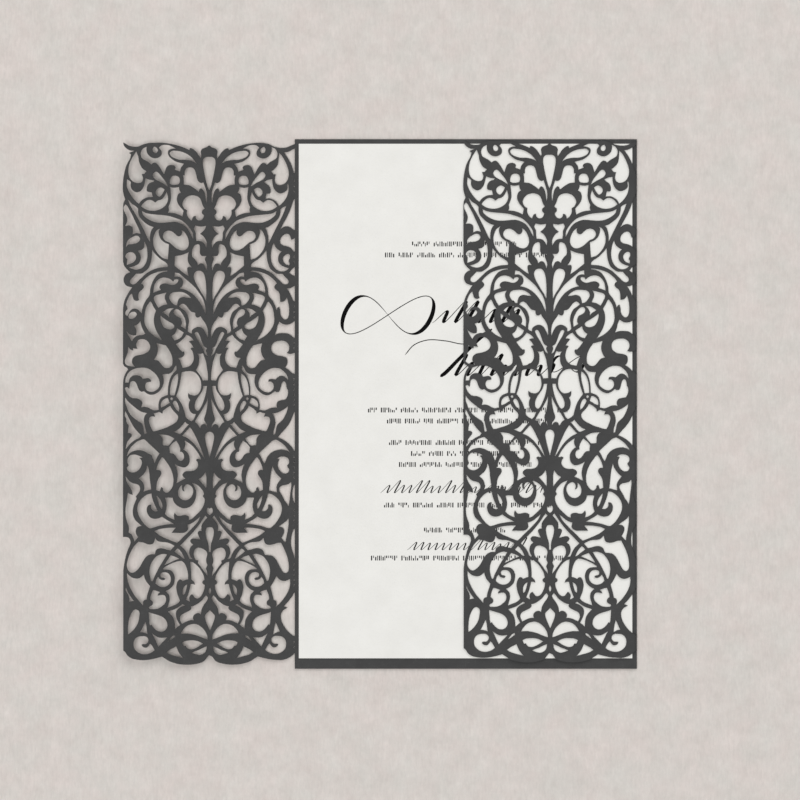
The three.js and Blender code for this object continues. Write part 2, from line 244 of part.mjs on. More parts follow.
// Cuts beside the free edge
const freeSideCuts = {
  cornerLobe: '27,190.3! 28.6,187.8 29.6,185.4 29.9,182.8 29.4,180.5 28,179.1 26.4,178.6 25,179 '
    + '24.5,180.4 25,182! 24.1,182! 23.2,183! 24.7,184 25.9,186.3 26.3,188.6',
  lowerLeaf: '30.4,180! 29.7,179.6 29,179! 29.1,177.8 28.7,176.4 27.7,175.5 26.7,175.2 25.4,175.7 '
    + '24.3,177.2 23.8,179 23.5,180.4! 22.2,179.9 20.3,179.6! 20.6,179.1! 21.7,178.8 22.7,178 '
    + '23.1,176.8 23,175.6 22.3,175.3! 21.3,175.2! 20.9,173.5! 22.6,173.4 24,172.9 25.2,172 26,170.9! '
    + '27.3,172 28.9,174 29.9,175.8 30.5,177.6',
  slit: '30.1,172.6! 28.6,170.9 27,169.9 26.3,169.1! 26.3,167.6 25.8,166.1 24.6,164.7 23.4,163.6 '
    + '21.8,162.7 20.5,162.3! 21.2,161.5 21.7,160.3 21.95,158.6 21.9,156.8! 22.6,157.9 24.6,162.1 '
    + '27.2,167 29.2,170.3',
  edgeWave: '31,170.7! 31.7,169.6 31.5,168.3 30.7,166.7 30.3,165.3 30.5,163.9 31.1,162.7! 29.7,162.9 '
    + '28.5,162.3 28.2,161.2 28.3,159.6! 27,160.1 25.4,159.8! 26.2,161.9 27.4,164.4 28.6,167 29.5,168.6 '
    + '30.4,170.2',
  budCrescent: '24,157! 23.2,155.2 22.9,153.3 22.9,151 23.6,148.7 25,147.1 26.9,146.5 28.5,146.8 '
    + '29.7,147.3! 27.8,147.8 26,148.9 25.3,150.5 25.5,152.1 26.4,153.5! 25,153.9 24.2,154.7 24,156',
  budLeaf: '30.8,155! 30.4,156.8 29.6,157.9 28.4,158.6 27.3,159.1 26.2,158.9 25.6,157.9 26.1,156.9 '
    + '27.1,156.3 28.6,156 30,155.8',
  budRound: '29.4,153 28,152.7 27.2,151.6 27.2,150.4 28,149.3 29.2,148.7 30.5,148.3! 30.4,149.4 '
    + '30.3,150.4! 31,151.3 30.6,152.4',
  outerSweep: '15.5,146.2! 17.6,146 19.9,145.4 21.8,144.6 23.4,143.4 24.6,142.2 25.1,141.4! 24.4,140.8 '
    + '24.2,140 24.8,139.1 25.7,138.4 26.2,137.4 26.2,136.2 25.9,135.2! 26.9,134.9 27.8,135.3 '
    + '28.3,136.4 28.6,137.6! 29.3,137.1 30.2,135.4 30.8,133.6! 30.3,132.6 30.2,131.9! 30.9,131 31,130 '
    + '30.3,129.2! 29.9,130 29.3,131.2 28.3,132 27,132 26,131.4 25,130.3! 24.8,131.8 24.2,133.7 '
    + '23.2,135.5 22.1,137 21.8,139.5 21,141.9 19.9,143.8 18.8,144.9 17.2,145.6 15.5,145.9!',
  ball: '28.6,130.8 27.4,130.8 26.8,130 27.3,129 28.5,128.3 29.7,128.4! 29.9,129.3 29.5,130.2',
  blobSide: '25.5,127.4! 25.2,126 24.7,124.6 23.7,122.8! 24.6,122.3 26,122.2 27.1,121.8 28.1,120.9 '
    + '28.6,120! 29.3,121.1 30,122.3 30.6,123.7! 29.9,122.9 29.1,122.4 28,122.1 27,122.3! 26.9,123.2 '
    + '27.1,124.6 27.8,125.7! 26.9,126 26,126.7',
  doubleScroll: '24.8,120.8 26.2,120.4 26.9,119.3 27,118.3 26.5,117.1! 27.4,117.2 28.2,117.4! '
    + '28.1,116.5! 29,116.8 30,117.9! 30.15,115.8 30.7,114.2 31.2,112.8 31,111.6 29.7,110.8 27.6,110.6! '
    + '28.4,111.6 28.6,112.5 28.3,113.7 27.1,114.6 25,115 23.4,115.6 22.3,116.5 21.85,117.7 22.2,119.1 '
    + '23.2,120.3',
  cScroll: '31.1,104.6! 30.9,106.2 30.2,107.8 29,109.1 27.1,109.9 24.8,110.2 22.8,109.9 21.2,109 '
    + '19.6,107.5 18.6,105.8 18.3,104 18.6,102.8 19.5,101.9 20.7,101.3 22,101.3 23,101.7 23.6,102.6 '
    + '23.7,103.6 23.2,104.6 21.5,105! 21.7,105.8 22.6,106.3 23.5,106.2 24.5,106! 25.2,106.8 26.2,107.3 '
    + '27.4,107.4 28.6,107 29.4,106.2 29.8,104.7!',
  crossRegion: '12.2,111! 12.1,110.2 12.2,109.3 13,108.4 13.9,107.3 14.6,105.8 15,104.2 15.25,102.6 '
    + '15.3,101 15.3,100.1! 16.3,99.7 17.5,99.2 18.3,98.3 18.7,97 18.8,95.8 18.7,94.6! 19.5,94.4 '
    + '20.6,94.4 21.6,94.8 22.7,95.4 24,95.7 25.1,95.5! 24.9,96.4 24.7,97 25,97.8 25.8,98.4 26.9,98.8 '
    + '28.2,98.9 29.2,99.3 30.1,100.2 30.8,101.5 31.2,102.7! 30.3,102.9 29.6,102.3! 29.4,103.6 '
    + '29.1,104.8 28.3,105.2 27.4,104.9 26.8,104 26.4,102.8 25.8,101.7 25,101.2! 24.2,101.4 23.2,100.7 '
    + '22.2,100.2 21.2,100.1 20,100.4 18.8,101.1 17.8,102.2 17.1,103.6 16.8,105 16.9,106.4 17.3,107.7! '
    + '16,107.8 14.9,107.9 14,108.4 13.3,109.3 12.8,110.4',
  leafSliver: '31.1,99.1! 30.5,98.2 29.7,97.3 28.8,96.5 27.7,95.6 26.3,94.5 24.8,93.7 23,93.3! '
    + '23.8,92.4 24.2,91 24.1,89.8 23.8,88.3 23.5,87 23.2,85.9! 23.9,85.6 24.2,86.7 24.4,88.2 25,89.5 '
    + '26.2,90.3 27.6,91.3 28.8,92.4 29.8,93.8 30.5,95.6 31.1,97.4',
  edgeLeaf: '31,94! 30.3,92.6 29.4,90.8 28.5,89.1 27.6,87.7 26.4,86.3 25.2,85.1! 25.8,84.2 27.4,83.4 '
    + '28.9,82.3 30,81.1 30.9,80! 30.7,81.4 30.2,82.8 29.4,83.9 28.7,84.8 28.8,85.6 29.4,85.9 30.1,86! '
    + '30,87.2 29.8,88.6 30.4,89.6 30.7,90.5 30.7,91.3 31.2,92.2 31.2,93.2',
  arcGap: '24.2,83.7! 23.3,83 22.2,81.9 21,80.8 19.8,79.7 18.4,78.3! 19.1,77.3 19.7,76 20.2,74.7! '
    + '20.7,76.2 21.3,77.7! 22.4,78.3 23.9,79.1 25.7,79.6 27.5,79.4 29,78.8 30.4,77.4! 30,79 29.1,80.5 '
    + '27.9,81.8 26.3,83',
  roundScroll: '28.4,77.9 29.3,77.6 30,76.8 30.3,75.8 30.2,74.9 29.8,74! 30.5,73! 30.1,72.1 29.3,71.5 '
    + '28.3,71.3 27,71.6 25.9,72.5 25.2,73.7 24.9,74.9 25.2,76 25.9,76.7! 24.7,76.9! 26,77.5 27.2,77.9',
  longDrop: '23,74! 22.6,73.2 22.3,72 22.1,70.5 22,69 21.8,67.4 21.6,66 21.5,64.9! 22.6,64.8 23.5,64.5 '
    + '24.3,64.2! 24,65.5 24.1,66.6 24.5,67.6 25.2,68.4 26.1,69.1! 25.4,69.7 24.4,70.5 23.7,71.4 '
    + '23.2,72.6',
  edgeScroll: '30.9,69.9! 30.2,68.9 29.3,67.9 28.2,67.3 26.9,67 26,66.5 25.6,65.6 25.7,64.5 26.4,63.4 '
    + '27.2,62.4! 26.9,61.7 27.4,60.4 28,58.8 28.3,57 28.1,55.2 27.4,53.7 26.3,52.6 25,51.5! 26.3,51.2 '
    + '27,50.5 27.2,49.3 26.9,48.2 26.3,47.3! 27.7,45.7! 28.1,47.1 28.7,48.3 29.8,49! 29.7,50.5 '
    + '29.9,51.8 30.5,53.4 30.9,55 31,57 30.8,59.2 30.4,61.3 30.1,63.8! 29.3,63.3 28.3,63! 28.6,64.5 '
    + '29.2,65.6 30,66.8 30.6,68.2',
  wideGap: '19.9,47.1! 19.6,46.4 18.9,45.8 17.5,45.5 15.9,45.4 14.5,45 12.8,44.1! 13.6,43.2 14.3,42.4! '
    + '15.3,42.6 16.6,43 17.9,43.2 19,43 19.8,42.3 20.1,41! 21.3,41 22.4,40.7 23.4,40 24.3,38.8 25,37.5 '
    + '25.8,36.1 26.7,35.1 27.8,34.3 28.7,34.1 29.7,34.7 30.4,36 30.5,37.3 30.1,39 29.5,40.9 28.7,42.5 '
    + '27.8,44 26.2,45.6! 25.3,45.5 24.3,45.3 23.4,44.9 22.3,44.6 21.2,44.7 20.5,45.3 20.2,46.1',
  edgeSliver: '30.9,28.7! 30.2,27 29.3,25.6 28.5,24.4 27.9,23.7! 28.8,23.6 29.6,23.4! 29.5,24.6 '
    + '29.8,25.6 30.3,26.6 30.8,27.6',
  bigSail: '30.4,34! 29.7,33.2 28.7,32.4 27.4,32 26.3,32 25.2,32.5 24.2,33.4! 23.9,32.2 23.3,30.9 '
    + '22.6,30 21.9,29.2! 22.2,28.1 22.6,27 23,25.7 23.2,24.2! 24,24 24.5,23.3 24.5,22.5 24.6,22! '
    + '25.5,23.2 26.5,24.3 27.4,25.4 28.3,26.8 29.1,28.3 29.8,29.9 30.2,31.3 30.4,32.7',
  longOval: '27.2,20.6! 28,20.2 28.7,19.3 29.3,18 29.8,16.2 30,14.4 30.1,12.6 30,11.3! 29,12 28,13 '
    + '26.9,14.5 26.2,16.1 25.9,17.8 25.8,19.3 26.2,20.1',
  smallWedge: '23.6,15.9! 23.3,14.6 23.1,13 22.9,11.5! 24,11.9 25.6,12.1! 24.9,13.2 24.3,14.5',
};

// Cuts beside the fold, some of them open to it
const foldSideCuts = {
  topTriangle: '27.7,190.1! 29.2,190.3 30.6,191 31.8,192! 31.8,181.3! 31.3,183.2 30.6,185.4 29.6,187.4 '
    + '28.6,189',
  cornerLobe: '25.9,190! 27.2,188.6 28.4,186.4 29.2,184.4 29.6,182.2 29.3,180.4 28.4,178.9 27,178.1 '
    + '25.9,178 24.9,178.5 24.4,179.6 24.5,181 24.8,181.9! 23.9,182! 23,183! 24.3,184 25.4,185.4 '
    + '25.8,187.4',
  lowerLeaf: '29.3,178.5! 29.5,177.3 29.4,175.5 28.9,173.8 28,172.3 26.9,171 25.9,170.2! 25.2,171.5 '
    + '24.1,172.4 22.6,173 20.9,172.9! 21.3,174.8! 22.6,174.9 22.8,176.3 22.2,177.7 21.1,178.5 '
    + '20.3,179.2! 21.8,179.9 23.4,180.2! 23.5,178.6 24,176.8 25,175.5 26.3,174.9 27.6,175.2 28.7,175.9 '
    + '29.1,176.8 28.9,178.2!',
  slit: '28.6,170.2! 27.5,169.8 26.5,169! 26.4,167.4 25.8,165.8 24.6,164.4 23.2,163.3 21.8,162.4 '
    + '20.5,162! 21.3,161.2 21.7,160 22,158.4 22,156.2! 22.9,158 24.5,161.3 26.5,165.2 27.8,168',
  tallTriangle: '31.8,173.8! 31.1,171.8 30.5,169.9 29.6,167.6 28.6,165.6 27.5,163.6 26.3,161.4! '
    + '27.4,162.3 28.7,162.7 30,162.4 31.1,161.6 31.8,160.9!',
  openScroll: '28.6,159.9 27.3,159.2 26.4,157.8 26.5,156.3 27.4,155.6 29,155.2 30.4,154.6 31.2,153.6 '
    + '31.8,152.9! 31.8,158.7! 31.2,158.1 30.6,157.6! 30.3,158.4 30,159.2 29.4,159.8',
  budCrescent: '24,156.6! 24.5,155.2 25.3,154.2 26.2,153.6 26.9,153.3! 26,152.3 25.6,150.9 25.8,149.4 '
    + '26.8,148.2 28.2,147.5 29.6,147.1! 28.8,146.4 27.3,145.9 25.7,146.2 24.3,147.3 23.3,149.1 '
    + '22.9,151.4 23.1,153.8 23.5,155.5',
  ball: '29.3,152.4 28.2,152 27.4,150.9 27.6,149.6 28.4,148.6 29.8,148.1! 29.9,149! 29.5,149.8 30,151 '
    + '29.9,152',
  smallTriangle: '29.7,145.4! 30.5,146.4 31.8,147.9! 31.8,143.5! 30.9,144.6!',
  edgeTriangle: '28.8,139.6! 30,139.7 31,140.2 31.8,141! 31.8,134! 31.1,135.3 30.4,137 29.6,138.5',
  outerSweep: '15.5,146.2! 17.6,146 19.9,145.4 21.8,144.6 23.4,143.4 24.6,142.2 25.1,141.4! 24.4,140.8 '
    + '24.2,140 24.8,139.1 25.7,138.4 26.2,137.4 26.3,136 26.4,134.6! 27.4,134.7 28.2,135.2 28.8,136.3! '
    + '29.3,134.7 29.6,133 29.7,131.2 29.5,129.4 28.9,128.3 28,128.1 27.1,128.8 26.5,130 26.4,131.5 '
    + '26,132.8! 25.4,132.5 25,131.6! 24.6,133 23.6,135 22.1,137 21.8,139.5 21,141.9 19.9,143.8 '
    + '18.8,144.9 17.2,145.6 15.5,145.9!',
  underHook: '26,127.3! 26.8,126.7 28,126.2 29.2,126.2 30.3,126.5 31.2,127.1 31.8,127.6! 31.8,120.6! '
    + '31.3,121.4 30.4,122.2 29.4,122.8 28,123 26.5,123 25.3,122.8 24.3,122.3! 25,124 25.4,125.8',
  doubleScroll: '26.5,120.2 27.8,120.1 28.9,119.5 29.6,118.5 29.7,117.2 29.3,116.1 28.8,115.6! '
    + '29.8,115.3 30.8,115.4 31.8,116! 31.8,107.3! 31,108 30,109 29,109.8 28.1,110.3! 28.7,110.9 '
    + '29,111.6 29.1,112.7 28.8,113.7 28.1,114.2 27,114.5 25.5,114.7 24.4,115.2 23.4,116.1 23.1,117.2 '
    + '23.2,118.3 23.9,119.4 25.1,120',
  cScroll: '21.9,105! 22.2,105.8 23.1,106 24.6,105.8! 25.3,106.5 26.3,107.1 27.4,107.1 28.4,106.5 '
    + '29.4,105.3! 29.2,106.5 28.6,107.8 27.6,108.9 26.3,109.8 24.8,110.1 23,109.9 21.2,109 19.6,107.5 '
    + '18.6,105.8 18.3,104 18.6,102.8 19.5,101.9 20.7,101.2 22,101 23,101.4 23.8,102.3 24,103.4 '
    + '23.6,104.5 22.8,105',
  crossRegion: '12.2,111! 12.1,110.2 12.2,109.3 13,108.4 13.9,107.3 14.6,105.8 15,104.2 15.25,102.6 '
    + '15.3,101 15.3,100.1! 16.3,99.7 17.5,99.2 18.3,98.3 18.7,97 18.8,95.8 18.7,94.6! 19.5,94.4 '
    + '20.6,94.3 21.7,94.7 22.8,95.2 24.1,95.4 25.3,95.2! 25,96.1 25.1,97 25.7,97.8 26.7,98.1 '
    + '28.4,98.4! 29,99.5 29.3,100.8 29.2,101.9! 28.8,102.7 28.6,104 28.2,104.9 27.6,105.1 27,104.5 '
    + '26.7,103.5 26.4,102.2 25.9,101.2 25,101.1! 24.3,101.4 23.4,100.7 22.4,100.1 21.4,99.9 20,100.3 '
    + '18.8,101.1 17.8,102.2 17.1,103.6 16.8,105 16.9,106.4 17.3,107.7! 16,107.8 14.9,107.9 14,108.4 '
    + '13.3,109.3 12.8,110.4',
  leafSliver: '23.4,93.2! 24.9,93.4 26.3,93.9 27.6,94.6 28.7,95.4 29.3,96! 29.1,94.8 28.7,93.5 '
    + '28.1,92.2 27.4,91 26.5,90.1 25.5,89.2 25,88.2 24.8,87 24.4,85.4! 23.8,85.3! 23.9,86.7 24.3,88 '
    + '24.6,89.4 24.5,90.9 24.1,92.2',
  foldTriangle: '31.8,94.8! 31.2,92.8 30.4,90.7 29.3,88.8 28,87.2 26.7,85.8 25.5,84.3! 27,83.7 '
    + '28.5,82.8 29.9,81.6 31,80.3 31.8,78.9!',
  arcGap: '24.8,83.5! 26.4,82.6 27.9,81.4 29.1,80 30,78.6! 28.7,79.4 27.2,79.8 25.7,79.7 24,79.2 '
    + '22.6,78.3 21.5,77! 21,75.7 20.5,74.6! 19.7,76 19.1,77.3 18.4,78.3! 19.8,79.7 21,80.8 22.2,81.9 '
    + '23.4,83',
  roundScroll: '27.5,77.2 28.5,77 29.3,76.5 29.7,75.6 29.6,74.6! 28.9,73.8! 29.3,73! 29.7,72.4 '
    + '29.4,71.4 28.6,70.9 27.5,71 26.5,71.7 25.8,72.8 25.5,74 25.6,75.2 26.1,76.2! 25,76.4! 25.8,76.9 '
    + '26.6,77.2',
  longDrop: '23.6,73.9! 23.9,72.6 24.5,71.5 25.4,70.3 26.8,69! 26,68 25.3,67 25,65.8 25.1,64.5 '
    + '25.2,63.8! 24.2,64.1 23.2,64.4 22.2,64.6! 22.4,66 22.6,68 22.8,70 23.1,72',
  upperDrop: '30.4,67.9! 29.8,67.2 29,66.8 28,66.6 27,66.4 26.3,65.9 26,65.2 26.3,64 27,62.9 27.5,62! '
    + '28,60.9 28.8,59.9 29.4,58.6! 29.8,60.5 30,62.5 30.3,64.8 30.5,66.5',
  lowerDrop: '29.5,54.4! 28.8,53.4 27.9,52.7 26.9,52 25.7,51.1! 27.2,50.8 27.8,50 27.8,48.9 27.4,47.9 '
    + '26.8,46.9! 27.6,46 28.4,45.2! 28.5,46.5 28.9,48.2 29.2,50 29.5,52',
  upperSlot: '31.8,67.3! 31.3,66.2 31,64.6 30.9,62.9 31.2,61.2 31.8,59.3!',
  lowerSlot: '31.8,51.3! 31.2,49.8 30.7,48.2 30.4,46.3 30.4,44.5 30.7,42.8 31.3,41 31.8,38.8!',
  wideGap: '20.2,47.1! 19.6,46.4 18.9,45.8 17.5,45.5 15.9,45.4 14.5,45 12.8,44.1! 13.6,43.2 14.3,42.4! '
    + '15.3,42.6 16.6,43 17.9,43.2 19,43 19.9,42.4 20.7,40.7! 22,40.6 23.2,40.4 24.3,39.6 25.1,38.5 '
    + '25.9,37 26.8,35.3 27.6,34.2 28.5,33.9 29.3,34.5 29.6,35.7 29.5,37.5 29.1,39.7 28.3,41.9 '
    + '27.5,43.6 26.7,45.2! 25.3,45.1 23.8,44.6 22.4,44.4 21.3,44.6 20.6,45.3',
  bigSail: '25,32.9! 25.7,31.9 26.7,31.2 27.9,31 29.1,31.3 30,31.8! 30.1,30.2 29.8,28.5 29.2,26.9 '
    + '28.2,25.2 27,23.6 25.9,22.4 24.8,21.4! 25.1,22.7 24.8,23.6 23.9,24! 23.7,25.3 23.3,26.8 '
    + '22.7,28.9! 23.5,30 24.2,31.3',
  lowTriangle: '31.8,27.6! 31.3,26.2 30.8,25.2 30,24.2 29.2,23.2 28.4,22.3 27.7,21.6! 29.1,21.1! '
    + '28.4,20.7 27.5,20.1 26.9,19.3 26.6,18.3 26.7,16.9 27.1,15.5 27.8,14.2 28.7,12.9 29.7,11.8 '
    + '30.7,11 31.8,10.3!',
  smallWedge: '24.6,15.8! 25.2,14.6 25.8,13.2 26.3,12.1! 25.3,12 24.3,11.5 23.8,11.2! 24,12.8 24.3,14.4',
};

// The flap's outer edge: top edge from the middle out, free edge going down, lower edge back to the middle
const topEdge = '0,192.6 .9,192 2.6,191.3 3.1,190.4 2.9,188.7 3.1,187.9! 3.7,188.7 4.6,190.1 6.3,191.5 '
  + '7.1,191.6 7.3,190.9! 8.8,191.6 11.3,192.5 14.1,193.2 17.2,193.6 19.9,193.6';
const freeTopEdge = '22.3,193.5 24.6,192.9 26.2,192.2 28.1,192.1 29.9,192.6 31.1,193.3 31.9,193.7!';
const freeEdge = '31.5,192.4 30.6,191.4 29.2,190.7 27.7,190.6! 29.7,189.8! 28.9,189.2! 29.3,187.7 '
  + '30.1,186.3 30.9,184.5 31.5,182 31.9,179.2 31.9,175.5 31.4,173.4 31.1,172.5! 31.7,171.3 31.9,169.9! '
  + '31.9,149.5! 31.5,148 30.6,146.8 29.3,145.6! 30.8,144.8 31.6,143.5 31.6,142 30.8,140.7 29.4,140.1 '
  + '28.5,140! 29.5,138.6 30.4,137 31.1,135.7 31.7,133.7 31.9,132! 31.9,129.2! 31.9,111.6! 31.3,110.6 '
  + '30.4,110.1 30,109.5! 30.7,108.6 31.3,107.3 31.8,105.6 31.9,103.5! 31.9,47.4! 31,47.4! 30,47.2 '
  + '29.3,46.4 29.1,45.3 29.4,44.2 30,42.9 30.6,41.2 31.1,39.3 31.5,37.2 31.8,35! 31.8,5.3! 31,4.6 '
  + '30.4,3.6 29.5,2.8 28.3,2.2 26.8,1.9';
const foldTopEdge = '22.3,193.1 24,192.3 26.2,191.8 28.5,191.9 30.2,192.6 31.8,193.2!';
const foldLowEdge = '31.8,4.3! 31.1,3.5 30,2.7 29,2.2 27.8,1.8 26.5,1.6';
const lowEdge = '24.8,1.7 22.8,1.8 21,2.1 19.3,2.5 17.5,3! 16.8,2.6 15.9,2 14.8,1.3 13.2,.7 11.2,.2 '
  + '9.2,0 6.8,0 4.7,.3 2.8,.8 1.7,1.4! 1.1,2.2 .6,2.9 0,3.5!';

// Reading a cut path: each point has its distance d, its height v and whether it is a corner
function readPath(text) {
  return text.split(' ').map((word) => {
    const [d, v] = word.replace('!', '').split(',').map(Number);
    return { d, v, corner: word.endsWith('!') };
  });
}

function spread(v) {
  return drawnSpread * (1 - v / drawnHeight);
}

function toFreeSide(point) {
  return { x: -point.d, y: point.v, corner: point.corner };
}

function toFoldSide(point) {
  return { x: point.d, y: point.v, corner: point.corner };
}

// The second half of the drawing stands a little wider than the first toward the flap's foot
function toMirroredSide(point) {
  return { x: point.d + spread(point.v), y: point.v, corner: point.corner };
}

function toMiddle(point, side) {
  return { x: side * point.d + spread(point.v) / 2, y: point.v, corner: point.corner };
}

function middlePath(text) {
  const half = readPath(text);
  const left = half.map((point) => toMiddle(point, -1));
  const right = half.slice(1, -1).reverse().map((point) => toMiddle(point, 1));
  return left.concat(right);
}

function outerPath() {
  const top = readPath(topEdge);
  const low = readPath(lowEdge);
  const left = [
    ...top.map(toFreeSide),
    ...readPath(freeTopEdge).map(toFreeSide),
    ...readPath(freeEdge).map(toFreeSide),
    ...low.map(toFreeSide),
  ];
  const right = [
    ...low.slice(0, -1).reverse().map(toMirroredSide),
    ...readPath(foldLowEdge).reverse().map(toFoldSide),
    ...readPath(foldTopEdge).reverse().map(toFoldSide),
    ...top.slice(1).reverse().map(toMirroredSide),
  ];
  return left.concat(right);
}

// A smooth run through points, without the last one. A closed run comes back to its first point.
function smoothRun(points, closed) {
  if (points.length === 2) {
    return [new THREE.Vector2(points[0].x, points[0].y)];
  }
  const places = points.map((point) => new THREE.Vector3(point.x, point.y, 0));
  const curve = new THREE.CatmullRomCurve3(places, closed, 'centripetal');
  const spans = closed ? points.length : points.length - 1;
  const run = curve.getPoints(spans * curveSteps).slice(0, -1);
  return run.map((point) => new THREE.Vector2(point.x, point.y));
}

// The outline of a path: smooth runs from corner to corner, or one closed run where it has no corner
function outline(path) {
  const first = path.findIndex((point) => point.corner);
  if (first < 0) {
    return thinRing(smoothRun(path, true));
  }
  const ring = path.slice(first).concat(path.slice(0, first + 1));
  const corners = ring.map((point, index) => index).filter((index) => ring[index].corner);
  const points = [];
  for (let i = 0; i + 1 < corners.length; i += 1) {
    points.push(...smoothRun(ring.slice(corners[i], corners[i + 1] + 1), false));
  }
  return thinRing(points);
}

// The corner that adds the least area to the shape is left out, until each one left adds enough to be seen
function thinRing(points) {
  const ring = points.slice();
  for (;;) {
    let least = Infinity;
    let at = 0;
    ring.forEach((point, index) => {
      const before = ring[(index + ring.length - 1) % ring.length];
      const after = ring[(index + 1) % ring.length];
      const area = Math.abs(point.clone().sub(before).cross(after.clone().sub(before))) / 2;
      if (area < least) {
        least = area;
        at = index;
      }
    });
    if (least > leastCornerArea || ring.length <= fewestCorners) {
      return ring;
    }
    ring.splice(at, 1);
  }
}

// From drawing to flap: y from the lace's lowest point, x as the distance from the fold
const acrossScale = flapWidth / (drawnFold + drawnFree);
const upScale = laceHeight / drawnHeight;

function toFlap(point) {
  return new THREE.Vector2((point.x - drawnFold) * acrossScale, point.y * upScale);
}

const onLine = 1e-3;
const cutOverrun = 1;

// Points on the fold line are moved past it, so that the cut is open to the fold
function openToFold(point) {
  const atFold = Math.abs(point.x - drawnFold) < onLine;
  return atFold ? new THREE.Vector2(point.x + cutOverrun, point.y) : point;
}

function allCuts() {
  const paths = [];
  for (const text of Object.values(pairedCuts)) {
    paths.push(readPath(text).map(toFreeSide), readPath(text).map(toMirroredSide));
  }
  for (const text of Object.values(middleCuts)) {
    paths.push(middlePath(text));
  }
  for (const text of Object.values(freeSideCuts)) {
    paths.push(readPath(text).map(toFreeSide));
  }
  for (const text of Object.values(foldSideCuts)) {
    paths.push(readPath(text).map(toFoldSide));
  }
  const rings = paths.map((path) => outline(path).map(openToFold).map(toFlap));
  return rings.filter((ring) => Math.abs(THREE.ShapeUtils.area(ring)) > smallestGap);
}

// Solids
function toSolid(geometry) {
  const plain = geometry.clone();
  plain.deleteAttribute('normal');
  plain.deleteAttribute('uv');
  const merged = mergeVertices(plain, 1e-5);
  return new wasm.Manifold(new wasm.Mesh({
    numProp: 3,
    vertProperties: new Float32Array(merged.attributes.position.array),
    triVerts: new Uint32Array(merged.index.array),
  }));
}

function prism(points, low, high) {
  const shape = new THREE.Shape(points);
  const geometry = new THREE.ExtrudeGeometry(shape, { depth: high - low, bevelEnabled: false });
  geometry.translate(0, 0, low);
  return toSolid(geometry);
}

function toGeometry(solid) {
  const mesh = solid.getMesh();
  const geometry = new THREE.BufferGeometry();
  const positions = [];
  for (let i = 0; i < mesh.vertProperties.length; i += mesh.numProp) {
    positions.push(mesh.vertProperties[i], mesh.vertProperties[i + 1], mesh.vertProperties[i + 2]);
  }
  geometry.setAttribute('position', new THREE.Float32BufferAttribute(positions, 3));
  geometry.setIndex(Array.from(mesh.triVerts));
  geometry.computeVertexNormals();
  return geometry;
}

function moved(solid, place) {
  const geometry = toGeometry(solid);
  const positions = geometry.attributes.position;
  const vertex = new THREE.Vector3();
  for (let i = 0; i < positions.count; i += 1) {
    vertex.fromBufferAttribute(positions, i);
    place(vertex);
    positions.setXYZ(i, vertex.x, vertex.y, vertex.z);
  }
  return toSolid(geometry);
}

// A lace flap lying flat, its fold at x = 0 and its free edge at -flapWidth
function laceFlap() {
  let flap = prism(outline(outerPath()).map(toFlap), 0, sheet);
  for (const ring of allCuts()) {
    flap = flap.subtract(prism(ring, -sheet, 2 * sheet));
  }
  return flap;
}

// The heights at which a cut meets the fold line
function heightsOnFold(text) {
  const meeting = readPath(text).filter((point) => Math.abs(point.d - drawnFold) < onLine);
  return meeting.map((point) => point.v);
}

const shortestTab = 1;

// The stretches of the fold line where lace and panel are joined
function foldTabs() {
  const openings = Object.values(foldSideCuts)
    .map(heightsOnFold)
    .filter((heights) => heights.length > 1)
    .map((heights) => [Math.min(...heights), Math.max(...heights)])
    .sort((a, b) => a[0] - b[0]);
  const low = readPath(foldLowEdge)[0].v;
  const high = readPath(foldTopEdge).at(-1).v;
  const tabs = [];
  let from = low;
  for (const [start, end] of openings) {
    tabs.push([from, start]);
    from = end;
  }
  tabs.push([from, high]);
  const scaled = tabs.map(([start, end]) => [start * upScale, end * upScale]);
  return scaled.filter(([start, end]) => end - start > shortestTab);
}

// The right flap turns over the card in a half round bend, made only at the tabs
const closedFlapHeight = sheet + cardThickness + flapClearance;
const bendRadius = (closedFlapHeight + sheet) / 2;
const bendOverlap = 0.6;

function bendProfile() {
  const centre = new THREE.Vector2(0, bendRadius);
  const outer = [];
  const inner = [];
  for (let i = 0; i <= bendSteps; i += 1) {
    const angle = -Math.PI / 2 + (Math.PI * i) / bendSteps;
    const outward = new THREE.Vector2(Math.cos(angle), Math.sin(angle));
    outer.push(outward.clone().multiplyScalar(bendRadius).add(centre));
    inner.unshift(outward.clone().multiplyScalar(bendRadius - sheet).add(centre));
  }
  const lowLeg = new THREE.Vector2(-bendOverlap, 0);
  const lowLegTop = new THREE.Vector2(-bendOverlap, sheet);
  const highLeg = new THREE.Vector2(-bendOverlap, 2 * bendRadius);
  const highLegLow = new THREE.Vector2(-bendOverlap, 2 * bendRadius - sheet);
  return [lowLeg, ...outer, highLeg, highLegLow, ...inner, lowLegTop];
}

function bendTab(from, to) {
  const shape = new THREE.Shape(bendProfile());
  const geometry = new THREE.ExtrudeGeometry(shape, { depth: to - from, bevelEnabled: false });
  geometry.rotateX(Math.PI / 2);
  geometry.translate(backWidth / 2 - bendRadius, to, 0);
  return toSolid(geometry);
}

